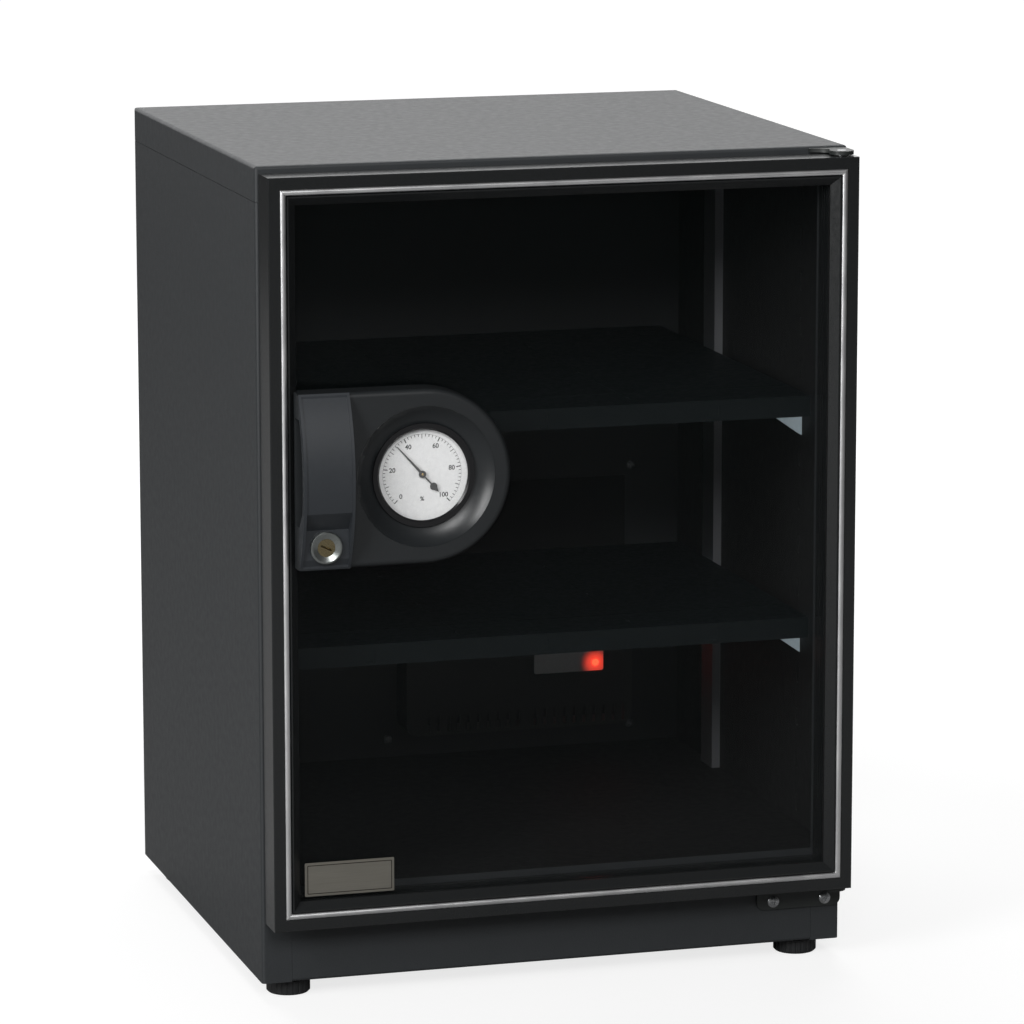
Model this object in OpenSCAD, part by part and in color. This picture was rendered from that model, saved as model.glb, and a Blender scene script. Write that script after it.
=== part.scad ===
// Camera dry cabinet: a sheet-steel case with a framed glass door, two shelves,
// a drying unit on the back wall and four levelling feet.
// X runs across the front, +Y goes in through the door, +Z is up.
// The origin is on the floor, under the middle of the whole object.

/* [Case] */
// Width over the side panels
body_w = 400; // [360:2:520]
// Depth from the front plane to the rear edge
body_d = 356; // [340:2:460]
// Height without the feet
body_h = 538; // [500:2:800]
// Thickness of the sheet steel
sheet_t = 1.2; // [0.8:0.1:1.5]
// Outside radius of the folds
fold_r = 2.2; // [1.8:0.1:3]
// Width of the side panels' returns beside the door opening
return_w = 20; // [19:0.5:26]
// Depth of the hollow behind the back panel
back_recess = 19.4; // [16:0.2:26]
// Height of the bottom of the door above the bottom of the case
door_low = 42; // [36:1:60]
// Height of the floor panel above the door's inner edge
floor_step = 3.6; // [3:0.2:8]
// Gap between the outer and inner side walls
wall_gap = 2.8; // [2.6:0.1:6]
// Thickness of the slotted inner walls
wall_t = 1; // [0.8:0.1:1.2]

/* [Shelves] */
// Pitch of the slots in the inner walls
slot_pitch = 30; // [26:1:36]
// Height of a slot
slot_h = 12; // [10:0.5:16]
// Width of a slot
slot_w = 3; // [2.6:0.1:4]
// Distance of the front slots behind the front plane
slot_front = 73; // [60:1:90]
// Distance between the front and rear slots
slot_span = 204; // [180:2:220]
// Number of free slots below the lower shelf's clips
lower_slot_count = 4; // [3:1:6]
// Number of slots below the upper shelf's clips
upper_slot_count = 9; // [8:1:11]
// Distance of the shelves behind the front plane
shelf_back = 8; // [7:0.5:14]
// Gap between the upper shelf and the back wall
upper_shelf_gap = 5.4; // [3:0.2:36]
// Gap between the lower shelf and the drying unit
lower_shelf_gap = 25; // [6:1:26]
// Thickness of the shelf sheet
shelf_t = 1; // [0.8:0.1:1.4]
// Height of the lip round a shelf
lip_h = 14; // [11:0.5:20]
// Width of the shelf clips
clip_w = 9; // [7:0.5:14]

/* [Door] */
// Thickness of the door frame
door_t = 26; // [24:0.5:32]
// Gap between the door frame and the case, which the seal fills
door_gap = 3; // [2.4:0.1:4]
// How far the door stands in from each side of the case
door_inset = 1.6; // [1:0.1:2.4]
// How far the top of the door lies under the top of the case
door_drop = 4.4; // [4.2:0.1:7]
// Thickness of the glass
glass_t = 4; // [3:0.5:5]
// Depth of the glass behind the front of the frame
glass_deep = 6; // [5:0.25:8]
// Width of the black band round the silver trim
band_w = 7.6; // [6:0.2:8]
// Width of the silver trim
trim_w = 4; // [3:0.2:4.4]
// Radius of the hinge pins
pin_r = 3; // [2:0.25:3.5]
// Reach of the hinge pins into the door
pin_len = 12; // [8:1:16]
// Thickness of the hinge brackets
bracket_t = 2.5; // [2:0.1:3]

/* [Handle and hygrometer] */
// Distance from the side of the case to the handle
handle_side = 17.1; // [16:0.2:24]
// Height of the handle
handle_h = 114; // [104:1:130]
// Distance from the handle's left edge to the dial's centre
dial_across = 84; // [80:1:100]
// Height of the dial's centre above the bottom of the case
dial_high = 339.5; // [280:0.5:420]
// How far the handle's plate stands out from the glass
plate_out = 18; // [16:0.5:22]
// Width of the grip
grip_w = 33.5; // [30:0.5:36]
// How far the middle of the grip bows out from the plate
grip_bow = 15; // [12:0.5:20]
// Thickness of the grip in the middle
grip_t = 5; // [4:0.25:7]
// Wall of the handle's plate
plate_wall = 2.5; // [2:0.1:3]
// Radius of the dished ring round the hygrometer
dish_r = 46; // [42:0.5:48]
// Radius of the hygrometer's case
case_r = 33.8; // [31:0.2:36]
// Radius of the dial that shows
face_r = 29.5; // [26:0.25:30]
// Height of the lock above the bottom of the handle
lock_high = 15; // [14:0.5:17]
// Radius of the lock's bezel
bezel_r = 10.5; // [10:0.25:12]
// Radius of the lock's barrel
barrel_r = 9.2; // [8.6:0.1:9.4]
// Radius of the lock's turning plug
plug_r = 5.8; // [5:0.1:6.4]
// Reach of the lock's cam from the axis of the plug
cam_reach = 24; // [22:0.5:25]

/* [Drying unit] */
// Width of the unit
unit_w = 169; // [150:1:190]
// Distance of the unit's middle to the right of the middle of the case
unit_off = 67.5; // [50:0.5:80]
// Height of the unit's cover
unit_h = 116; // [104:1:122]
// Depth of the unit's cover in front of the back wall
unit_d = 27.4; // [25:0.2:34]
// Height of the unit above the floor panel
unit_up = 20; // [16:1:40]
// Height of the flat plate above the unit's cover
plate_h = 62; // [40:1:80]
// How far the rear cover stands out behind the case
rear_out = 8; // [4:0.5:20]
// Wall of the plastic covers
cover_t = 1.5; // [1.2:0.1:2]
// Radius of the hole through the cord gland
gland_r = 3.2; // [2.5:0.1:4]

/* [Feet] */
// Height of the feet under the case
foot_h = 12; // [10:0.5:20]
// Radius of the feet
foot_r = 14.5; // [12:0.5:18]
// Distance of the feet in from the sides and the front
foot_in = 23; // [20:0.5:30]
// Distance of the rear feet in front of the back panel
foot_rear_in = 13; // [10:0.5:60]
// Radius of the feet's studs
stud_r = 4; // [3:0.25:5]

/* [Hidden] */
$fn = 48;

// Overrun of cuts, and the clearances between pieces
over = 1;
seam = 0.3;
fit = 0.05;
slack = 0.5;

// Places that the case gives
half_w = body_w / 2;
front_reach = door_gap + door_t - glass_deep + plate_out + grip_bow;
front_y = front_reach - (front_reach + body_d + rear_out) / 2;
rear_y = front_y + body_d;
low_z = foot_h;
top_z = low_z + body_h;
frame_w = return_w - door_inset;
cap_land = 0.2;
cap_h = door_drop + frame_w + cap_land;
cap_z = top_z - cap_h;
back_y = rear_y - back_recess - sheet_t;
floor_z = low_z + door_low + frame_w + floor_step;
wall_x = half_w - sheet_t - wall_gap - wall_t;
open_half = half_w - return_w;

// The door: its front plane, its back, and its rectangle
door_y = front_y - door_gap - door_t;
door_half = half_w - door_inset;
door_z0 = low_z + door_low;
door_z1 = top_z - door_drop;
door_h = door_z1 - door_z0;
door_w = 2 * door_half;
glass_y = door_y + glass_deep;
glass_back = glass_y + glass_t;

// The hinge axis, as near the corner as the swinging edge allows
pivot_in = 8;
pivot_x = door_half - pivot_in;
pivot_y = door_y + door_t / 2;
run_gap = 0.7;

// The handle and its dial
handle_x0 = -half_w + handle_side;
handle_z0 = low_z + dial_high - handle_h / 2;
handle_z1 = handle_z0 + handle_h;
dial_x = handle_x0 + dial_across;
dial_z = low_z + dial_high;
plate_y = glass_y - plate_out;
grip_x1 = handle_x0 + grip_w;
lock_x = handle_x0 + grip_w / 2;
lock_z = handle_z0 + lock_high;
seat_in = 3;
lock_y = plate_y - seat_in;

// The lowest slot, and the shelves' heights
slot_up = 13.5;
slot_count = floor((cap_z - floor_z - slot_up - slot_h) / slot_pitch) + 1;
clip_rise = 9.5;

// The drying unit
unit_x0 = unit_off - unit_w / 2;
unit_x1 = unit_off + unit_w / 2;
unit_z0 = floor_z + unit_up;
unit_z1 = unit_z0 + unit_h;
plate_z1 = unit_z1 + plate_h;
unit_y = back_y - unit_d;
rear_cover_y = rear_y + rear_out;

function slot_z(i) = floor_z + slot_up + i * slot_pitch;
function slot_y(j) = front_y + slot_front + j * slot_span;

// A rectangle with round corners, from its lowest corner
module round_rect(w, h, r) {
    translate([r, 0]) square([w - 2 * r, h]);
    translate([0, r]) square([w, h - 2 * r]);
    for (x = [r, w - r], y = [r, h - r])
        translate([x, y]) circle(r);
}

// A box with round edges on all sides, from its lowest corner
module soft_box(w, d, h, r) {
    intersection() {
        linear_extrude(h) round_rect(w, d, r);
        translate([0, d, 0]) rotate([90, 0, 0]) linear_extrude(d) round_rect(w, h, r);
        rotate([90, 0, 90]) linear_extrude(w) round_rect(d, h, r);
    }
}

// A bar or hole along Y, from y, with its centre at x and z
module along_y(x, y, z, r, len) {
    translate([x, y, z]) rotate([-90, 0, 0]) cylinder(r = r, h = len);
}

// A box given by its two corners
module span(a, b) {
    translate(a) cube(b - a);
}

// One quarter of a folded corner, its centre at the origin, towards -X and -Y
module fold(r, t) {
    intersection() {
        difference() {
            circle(r);
            circle(r - t);
        }
        translate([-r, -r]) square(r);
    }
}

// Pan-head screw along +Y: its head in front of y, its shank behind
screw_head_r = 3;
screw_head_h = 1.6;
screw_r = 1.6;
module pan_screw(x, y, z, len, scale_by = 1) {
    head_r = screw_head_r * scale_by;
    head_h = screw_head_h * scale_by;
    translate([x, y, z]) rotate([90, 0, 0]) difference() {
        intersection() {
            cylinder(r = head_r, h = head_h);
            translate([0, 0, -head_r]) sphere(r = head_r + head_h);
        }
        for (a = [0, 90])
            rotate(a) translate([-head_r / 2, -head_h / 6, head_h / 2]) cube([head_r, head_h / 3, head_h]);
    }
    along_y(x, y, z, screw_r * scale_by, len);
}

// Case

steel_grey = [0.25, 0.26, 0.27];
liner_grey = [0.2, 0.2, 0.21];

module top_panel() {
    color(steel_grey) difference() {
        translate([-half_w, front_y, cap_z - fold_r]) soft_box(body_w, body_d, cap_h + fold_r, fold_r);
        span([-half_w + sheet_t, front_y + sheet_t, cap_z - fold_r - over],
             [half_w - sheet_t, rear_y - sheet_t, top_z - sheet_t]);
        span([-half_w - over, front_y - over, cap_z - fold_r - over],
             [half_w + over, rear_y + over, cap_z]);
        // slot for the upper hinge bracket
        span([bracket_x0 - fit, front_y - over, top_z - sheet_t - bracket_t - fit],
             [pivot_x + boss_r + fit, front_y + sheet_t + over, top_z - sheet_t]);
    }
}

// One side panel in plan: its wall, the return beside the door and the one at the rear
rear_return = 12;
module side_section() {
    translate([-half_w, front_y + fold_r]) square([sheet_t, body_d - 2 * fold_r]);
    translate([-half_w + fold_r, front_y]) square([return_w - fold_r, sheet_t]);
    translate([-half_w + fold_r, rear_y - sheet_t]) square([rear_return - fold_r, sheet_t]);
    translate([-half_w + fold_r, front_y + fold_r]) fold(fold_r, sheet_t);
    translate([-half_w + fold_r, rear_y - fold_r]) mirror([0, 1]) fold(fold_r, sheet_t);
}

module side_panel_left() {
    color(steel_grey) translate([0, 0, low_z]) linear_extrude(cap_z - seam - low_z) side_section();
}

module side_panel_right() {
    color(steel_grey) difference() {
        mirror([1, 0]) translate([0, 0, low_z]) linear_extrude(cap_z - seam - low_z) side_section();
        bracket_holes(screw_shank);
    }
}

// A plate that fits inside the folds, with its corners notched clear of them
module inner_plate(y0, y1, z, t, rear_notch = true) {
    translate([0, 0, z]) linear_extrude(t) difference() {
        translate([-half_w + sheet_t, y0]) square([body_w - 2 * sheet_t, y1 - y0]);
        for (s = [-1, 1]) {
            translate([s * (half_w - fold_r / 2), y0]) square(fold_r, center = true);
            if (rear_notch)
                translate([s * (half_w - fold_r / 2), y1]) square(fold_r, center = true);
        }
    }
}

// The back panel's lower fold, which the base ends under, so that the lead hangs clear behind
back_fold = 6;
module back_panel() {
    color(steel_grey) difference() {
        span([-half_w + sheet_t, back_y, low_z + 2 * sheet_t], [half_w - sheet_t, rear_y - fold_r, cap_z]);
        span([-half_w + 2 * sheet_t, back_y + sheet_t, low_z + 3 * sheet_t],
             [half_w - 2 * sheet_t, rear_y + over, cap_z - sheet_t]);
        span([-half_w + 2 * sheet_t, back_y + sheet_t + back_fold, low_z],
             [half_w - 2 * sheet_t, rear_y + over, low_z + 4 * sheet_t]);
        damper_window(seam);
        for (p = back_screws)
            along_y(p[0], back_y - over, p[1], screw_r + fit, sheet_t + 2 * over);
        for (x = board_posts_x, z = board_posts_z)
            along_y(x, back_y - over, z, board_post_r + fit, sheet_t + 2 * over);
    }
}

foot_x = half_w - foot_in;
foot_y = [front_y + foot_in, back_y - foot_rear_in];
base_z = low_z + sheet_t;

module base_panel() {
    color(steel_grey) difference() {
        inner_plate(front_y + fold_r, back_y + sheet_t + back_fold, base_z, sheet_t, false);
        for (s = [-1, 1], y = foot_y)
            translate([s * foot_x, y, base_z - over]) cylinder(r = stud_r + seam, h = sheet_t + 2 * over);
    }
}

// The plinth in section: its face, its lower fold and the return under the base
plinth_return = 16;
module plinth_front() {
    color(steel_grey) difference() {
        translate([-open_half + seam / 2, 0, 0]) rotate([90, 0, 90])
            linear_extrude(2 * open_half - seam) {
                translate([front_y, low_z + fold_r]) square([sheet_t, floor_z - low_z - fold_r]);
                translate([front_y + fold_r, low_z]) square([plinth_return - fold_r, sheet_t]);
                translate([front_y + fold_r, low_z + fold_r]) fold(fold_r, sheet_t);
            }
        bracket_holes(screw_shank);
    }
}

floor_flange = 10;
module floor_panel() {
    color(liner_grey) difference() {
        inner_plate(front_y + sheet_t, back_y, floor_z - floor_flange, floor_flange, false);
        span([-half_w + 2 * sheet_t, front_y + 2 * sheet_t, floor_z - floor_flange - over],
             [half_w - 2 * sheet_t, back_y - sheet_t, floor_z - sheet_t]);
    }
}

module ceiling_panel() {
    color(liner_grey) inner_plate(front_y + sheet_t, rear_y - sheet_t, cap_z, sheet_t);
}

// A slotted inner wall on the right; the left one is its mirror image
wall_front = 6;
module inner_wall() {
    difference() {
        translate([0, 0, floor_z]) linear_extrude(cap_z - floor_z) {
            translate([wall_x, front_y + wall_front]) square([wall_t, back_y - front_y - wall_front]);
            for (y = [front_y + wall_front, back_y - wall_t])
                translate([wall_x, y]) square([wall_t + wall_gap, wall_t]);
        }
        for (i = [0:slot_count - 1], j = [0, 1])
            translate([wall_x + wall_t / 2, slot_y(j), slot_z(i)])
                cube([wall_t + 2 * over, slot_w, slot_h], center = true);
    }
}

module inner_wall_left() {
    color(liner_grey) mirror([1, 0]) inner_wall();
}

module inner_wall_right() {
    color(liner_grey) inner_wall();
}

// Upright channels that stiffen the inner walls, ahead of the rear slots
channel_ahead = 17;
channel_w = 24;
channel_d = 6;
channel_t = 1;
module side_channels() {
    color([0.45, 0.45, 0.46]) for (s = [0, 1])
        mirror([s, 0]) translate([wall_x, slot_y(1) - channel_ahead - channel_w, floor_z])
            linear_extrude(cap_z - floor_z) difference() {
                translate([-channel_d, 0]) square([channel_d, channel_w]);
                translate([-channel_d + channel_t, channel_t])
                    square([channel_d, channel_w - 2 * channel_t]);
            }
}

// Shelf clips: a wedge under the shelf, with a peg in a slot of the wall
clip_seat = 14;
clip_tip = 3;
clip_drop = 14;
module shelf_clip(j, z) {
    translate([0, slot_y(j) + clip_w / 2, 0]) rotate([90, 0, 0]) linear_extrude(clip_w)
        polygon([[wall_x, z + clip_rise], [open_half - clip_seat, z + clip_rise],
                 [open_half - clip_seat, z + clip_rise - clip_tip], [wall_x, z - clip_drop]]);
    peg_w = slot_w - seam;
    peg_h = slot_h - 2 * seam;
    span([wall_x - over / 2, slot_y(j) - peg_w / 2, z - peg_h / 2],
         [wall_x + wall_t + wall_gap - seam, slot_y(j) + peg_w / 2, z + peg_h / 2]);
}

module shelf_clips() {
    color([0.85, 0.87, 0.88]) for (s = [0, 1], j = [0, 1], i = [lower_slot_count, upper_slot_count])
        mirror([s, 0]) shelf_clip(j, slot_z(i));
}

// Hexagon nuts over the base, one to each foot's stud
nut_wall = 2.6;
nut_flats_r = stud_r + nut_wall;
nut_h = 6.5;
module foot_nuts() {
    color([0.7, 0.7, 0.72]) for (s = [-1, 1], y = foot_y)
        translate([s * foot_x, y, base_z + sheet_t]) difference() {
            cylinder(r = nut_flats_r / cos(30), h = nut_h, $fn = 6);
            translate([0, 0, -over]) cylinder(r = stud_r + fit, h = nut_h + 2 * over);
        }
}

// Screws through the back wall into the rear cover's flange, as X and Z
screw_out = 7;
back_screws = [
    [unit_x1 + screw_out, plate_z1 + screw_out], [unit_x0 - screw_out, plate_z1 + screw_out],
    [unit_x1 + screw_out, unit_z0 - screw_out], [unit_x0 - screw_out, unit_z0 - screw_out]
];
module panel_screws() {
    color([0.3, 0.3, 0.31]) for (p = back_screws)
        pan_screw(p[0], back_y, p[1], sheet_t + cover_t);
}

// Plate behind the left return that the lock's cam turns behind
strike_h = 44;
strike_t = 1.5;
strike_edge = 2;
module strike_plate() {
    color([0.6, 0.6, 0.62]) span(
        [-half_w + fold_r + strike_edge, front_y + sheet_t, lock_z - strike_h / 2],
        [-open_half - strike_edge, front_y + sheet_t + strike_t, lock_z + strike_h / 2]);
}

// Hinges

// The arm of a bracket in plan: a boss round the pivot, swept back to the case
boss_r = pivot_in;
sweep_r = front_y - pivot_y;
module hinge_arm(x0, back) {
    difference() {
        union() {
            translate([pivot_x, pivot_y]) circle(boss_r);
            difference() {
                translate([x0, pivot_y]) square([pivot_x + boss_r - x0, sweep_r + back]);
                translate([x0, pivot_y]) circle(sweep_r - bracket_t);
            }
        }
        translate([pivot_x, pivot_y]) circle(pin_r);
    }
}

bracket_w = 27;
bracket_x0 = half_w - bracket_w;
bracket_back = 30;
module top_hinge_bracket() {
    color([0.18, 0.18, 0.19]) translate([0, 0, top_z - sheet_t - bracket_t]) linear_extrude(bracket_t) {
        hinge_arm(bracket_x0, sheet_t + over);
        translate([bracket_x0, front_y + sheet_t])
            square([half_w - sheet_t - seam - bracket_x0, bracket_back]);
    }
}

leg_w = 59;
leg_drop = 18;
leg_corner = 5;
bottom_z = door_z0 - run_gap - bracket_t;
leg_low = door_z0 - leg_drop;
bracket_screw_in = 11;
bracket_screw_span = 36.5;
bracket_screw_up = 5.4;
bracket_screw_z = leg_low + bracket_screw_up;
screw_shank = 2.1;
hinge_screw_scale = 1.33;
function bracket_screw_x(i) = half_w - bracket_screw_in - i * bracket_screw_span;

module bracket_holes(r) {
    for (i = [0, 1])
        along_y(bracket_screw_x(i), front_y - bracket_t - over, bracket_screw_z, r + fit,
                bracket_t + sheet_t + 2 * over);
}

module bottom_hinge_bracket() {
    color([0.3, 0.32, 0.32]) difference() {
        union() {
            translate([0, 0, bottom_z]) linear_extrude(bracket_t)
                hinge_arm(half_w - leg_w + leg_corner, 0);
            translate([half_w - leg_w, front_y, leg_low]) rotate([90, 0, 0]) linear_extrude(bracket_t)
                intersection() {
                    round_rect(leg_w, 2 * (bottom_z - leg_low), leg_corner);
                    square([leg_w, bottom_z + bracket_t - leg_low]);
                }
        }
        bracket_holes(screw_shank);
    }
}

module hinge_pins() {
    color([0.75, 0.75, 0.77]) {
        translate([pivot_x, pivot_y, door_z1 - pin_len])
            cylinder(r = pin_r, h = top_z - sheet_t - door_z1 + pin_len);
        translate([pivot_x, pivot_y, bottom_z]) cylinder(r = pin_r, h = door_z0 + pin_len - bottom_z);
    }
}

module hinge_screws() {
    color([0.7, 0.71, 0.72]) for (i = [0, 1])
        pan_screw(bracket_screw_x(i), front_y - bracket_t, bracket_screw_z,
                  bracket_t + sheet_t + 2 * over, hinge_screw_scale);
}

// Drying unit

cover_r = 8;
vent_w = 2.4;
vent_h = 12;
vent_pitch = 7.4;
vent_count = 10;
vent_low = 2.6;
vent_in = 15;
vent_group_step = 79.5;
led_r = 2.5;
led_in = 28;
led_up = 46.5;
led_x = unit_x1 - led_in;
led_z = unit_z0 + led_up;

module unit_cover() {
    color(liner_grey) difference() {
        translate([unit_x0, back_y, unit_z0]) rotate([90, 0, 0])
            linear_extrude(unit_d) round_rect(unit_w, unit_h, cover_r);
        translate([unit_x0 + cover_t, back_y + over, unit_z0 + cover_t]) rotate([90, 0, 0])
            linear_extrude(unit_d - cover_t + over)
                round_rect(unit_w - 2 * cover_t, unit_h - 2 * cover_t, cover_r - cover_t);
        for (k = [0, 1], i = [0:vent_count - 1])
            translate([unit_x0 + vent_in + k * vent_group_step + i * vent_pitch, unit_y - over,
                       unit_z0 + vent_low])
                cube([vent_w, cover_t + 2 * over, vent_h]);
        along_y(led_x, unit_y - over, led_z, led_r + seam, cover_t + 2 * over);
    }
}

module unit_top_plate() {
    color(liner_grey) span([unit_x0, back_y - sheet_t, unit_z1], [unit_x1 + 2 * sheet_t, back_y, plate_z1]);
}

// The window in the back wall that the damper opens and closes
duct_w = 64;
duct_h = 32;
duct_in = 52;
duct_up = 26;
duct_x = unit_x0 + duct_in;
duct_z = unit_z0 + duct_up;
duct_wall = 2;
duct_lip = 3;
duct_front = 3;
duct_rear = 7;
flap_pin_r = 1.4;
flap_t = 1.6;
flap_gap = 0.6;
flap_behind = 3.6;
flap_under = 3;
flap_y = back_y + flap_behind;
flap_z = duct_z + duct_h / 2 - duct_wall - flap_under;

module damper_window(gap) {
    span([duct_x - duct_w / 2 - gap, back_y - over, duct_z - duct_h / 2 - gap],
         [duct_x + duct_w / 2 + gap, back_y + sheet_t + over, duct_z + duct_h / 2 + gap]);
}

module damper_frame() {
    color([0.15, 0.15, 0.15]) difference() {
        union() {
            span([duct_x - duct_w / 2, back_y - duct_front, duct_z - duct_h / 2],
                 [duct_x + duct_w / 2, back_y + duct_rear, duct_z + duct_h / 2]);
            span([duct_x - duct_w / 2 - duct_lip, back_y - cover_t, duct_z - duct_h / 2 - duct_lip],
                 [duct_x + duct_w / 2 + duct_lip, back_y, duct_z + duct_h / 2 + duct_lip]);
        }
        span([duct_x - duct_w / 2 + duct_wall, back_y - duct_front - over, duct_z - duct_h / 2 + duct_wall],
             [duct_x + duct_w / 2 - duct_wall, back_y + duct_rear + over, duct_z + duct_h / 2 - duct_wall]);
        translate([duct_x - duct_w / 2 - over, flap_y, flap_z]) rotate([0, 90, 0])
            cylinder(r = flap_pin_r + fit, h = duct_w + 2 * over);
    }
}

module damper_flap() {
    flap_w = duct_w - 2 * duct_wall - 2 * flap_gap;
    color([0.5, 0.5, 0.5]) {
        translate([duct_x - duct_w / 2, flap_y, flap_z]) rotate([0, 90, 0])
            cylinder(r = flap_pin_r, h = duct_w);
        span([duct_x - flap_w / 2, flap_y - flap_t / 2, duct_z - duct_h / 2 + duct_wall + flap_gap],
             [duct_x + flap_w / 2, flap_y + flap_t / 2, flap_z]);
    }
}

// A tray of desiccant against the inside of the cover, with air slots in its face
tray_w = 76;
tray_h = 58;
tray_d = 15;
tray_in = 6;
tray_up = 3;
tray_x0 = unit_x0 + cover_t + tray_in;
tray_z0 = duct_z + duct_h / 2 + duct_lip + tray_up;
tray_slot_count = 6;
tray_slot_h = 3;
module desiccant_box() {
    pitch = tray_h / (tray_slot_count + 1);
    color([0.88, 0.88, 0.85]) difference() {
        span([tray_x0, unit_y + cover_t, tray_z0],
             [tray_x0 + tray_w, unit_y + cover_t + tray_d, tray_z0 + tray_h]);
        for (i = [1:tray_slot_count])
            span([tray_x0 + tray_slot_h, unit_y + cover_t - over, tray_z0 + i * pitch - tray_slot_h / 2],
                 [tray_x0 + tray_w - tray_slot_h, unit_y + cover_t + tray_slot_h,
                  tray_z0 + i * pitch + tray_slot_h / 2]);
    }
}

heater_t = 3;
heater_in = 8;
heater_post_r = 3;
module heater_plate() {
    y0 = unit_y + cover_t + tray_d;
    color([0.72, 0.72, 0.7]) {
        span([tray_x0 + heater_in, y0, tray_z0 + heater_in],
             [tray_x0 + tray_w - heater_in, y0 + heater_t, tray_z0 + tray_h - heater_in]);
        for (x = [tray_x0 + 2 * heater_in, tray_x0 + tray_w - 2 * heater_in])
            along_y(x, y0 + heater_t, tray_z0 + tray_h / 2, heater_post_r, back_y - y0 - heater_t);
    }
}

// The control board on posts from the back wall; its lamp looks out of the cover
board_w = 50;
board_h = 64;
board_t = 1.6;
board_behind = 15;
board_in = 4;
board_up = 30;
board_y = unit_y + board_behind;
board_x0 = unit_x1 - cover_t - board_w - board_in;
board_z0 = unit_z0 + board_up;
board_post_r = 2;
board_edge = 5;
board_posts_x = [board_x0 + board_edge, board_x0 + board_w - board_edge];
board_posts_z = [board_z0 + board_edge, board_z0 + board_h - board_edge];
chip = 8;
module control_board() {
    color([0.1, 0.35, 0.2]) {
        span([board_x0, board_y, board_z0], [board_x0 + board_w, board_y + board_t, board_z0 + board_h]);
        for (x = board_posts_x, z = board_posts_z)
            along_y(x, board_y + board_t, z, board_post_r, back_y + sheet_t - board_y - board_t);
        // a relay, a capacitor and a chip
        span([board_x0 + chip, board_y - chip, board_z0 + board_h - 3 * chip],
             [board_x0 + 3 * chip, board_y, board_z0 + board_h - chip]);
        translate([board_x0 + chip, board_y, board_z0 + 2 * chip]) rotate([90, 0, 0])
            cylinder(r = chip / 2, h = chip);
        span([board_x0 + 2 * chip, board_y - board_t, board_z0 + 3 * chip],
             [board_x0 + 4 * chip, board_y, board_z0 + 4 * chip]);
    }
}

module status_led() {
    color([0.9, 0.1, 0.1]) {
        along_y(led_x, unit_y, led_z, led_r, board_y - unit_y);
        translate([led_x, unit_y, led_z]) intersection() {
            sphere(r = led_r);
            translate([-led_r, -led_r, -led_r]) cube([2 * led_r, led_r, 2 * led_r]);
        }
    }
}

// The cover outside, over the unit's air way and cord gland
louvre_count = 9;
louvre_h = 3;
louvre_w_share = 0.7;
flange_out = 12;
gland_thread_r = 6;
gland_in = 30;
gland_x = unit_x1 - gland_in;
gland_y = (back_y + sheet_t + cover_t + rear_cover_y) / 2;
module rear_cover() {
    y0 = back_y + sheet_t;
    pitch = (plate_z1 - unit_z0) / (louvre_count + 3);
    slot_half = unit_w * louvre_w_share / 2;
    color([0.2, 0.2, 0.21]) difference() {
        union() {
            span([unit_x0 - flange_out, y0, unit_z0 - flange_out],
                 [unit_x1 + flange_out, y0 + cover_t, plate_z1 + flange_out]);
            span([unit_x0, y0, unit_z0], [unit_x1, rear_cover_y, plate_z1]);
        }
        span([unit_x0 + cover_t, y0 - over, unit_z0 + cover_t],
             [unit_x1 - cover_t, rear_cover_y - cover_t, plate_z1 - cover_t]);
        for (i = [0:louvre_count - 1])
            span([unit_off - slot_half, rear_cover_y - cover_t - over, unit_z0 + (i + 2) * pitch],
                 [unit_off + slot_half, rear_cover_y + over, unit_z0 + (i + 2) * pitch + louvre_h]);
        for (p = back_screws)
            along_y(p[0], y0 - over, p[1], screw_r + fit, cover_t + 2 * over);
        translate([gland_x, gland_y, unit_z0 - over])
            cylinder(r = gland_thread_r + fit, h = cover_t + 2 * over);
    }
}

gland_hex_r = 8;
gland_hex_h = 5;
gland_dome_h = 9;
gland_nut_h = 4;
module cord_gland() {
    color([0.12, 0.12, 0.12]) difference() {
        union() {
            translate([gland_x, gland_y, unit_z0])
                cylinder(r = gland_thread_r, h = cover_t + gland_nut_h + over);
            translate([gland_x, gland_y, unit_z0 + cover_t])
                cylinder(r = gland_hex_r, h = gland_nut_h, $fn = 6);
            translate([gland_x, gland_y, unit_z0 - gland_hex_h])
                cylinder(r = gland_hex_r, h = gland_hex_h, $fn = 6);
            translate([gland_x, gland_y, unit_z0 - gland_hex_h - gland_dome_h])
                cylinder(r1 = gland_r + cover_t, r2 = gland_thread_r + over / 2, h = gland_dome_h);
        }
        translate([gland_x, gland_y, unit_z0 - gland_hex_h - gland_dome_h - over])
            cylinder(r = gland_r, h = gland_hex_h + gland_dome_h + cover_t + gland_nut_h + 3 * over);
    }
}

// Door frame

frame_black = [0.1, 0.1, 0.11];
door_mid = (door_z0 + door_z1) / 2;
trim_groove = 3;
trim_gap = 0.7;
trim_proud = 0.6;
trim_sag = 1.2;
trim_r = (pow(trim_w / 2, 2) + pow(trim_sag, 2)) / (2 * trim_sag);
bevel_land = 0.9;
bevel_lip = 0.9;
glass_edge = 14.5;
gasket_wall = 0.3;
bead_in = 14;
bead_out = 17.4;
chamber_front = 5;
chamber_in = 2;
chamber_d = 16;
chamber_w = 8;
seal_d = 4;
seal_in = 11.5;
seal_w = 4.5;
ridge_d = 0.8;
ridge_w = 1.5;
ridge_pitch = 3.6;
edge_cut = 0.6;

// One side of the door: its bar is drawn as the bottom one and turned into place
function side_half(a) = a % 180 == 0 ? door_h / 2 : door_half;
function side_len(a) = a % 180 == 0 ? door_w : door_h;
module door_side(a) {
    translate([0, door_y, door_mid]) rotate([0, a, 0]) translate([0, 0, -side_half(a)]) children();
}

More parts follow.
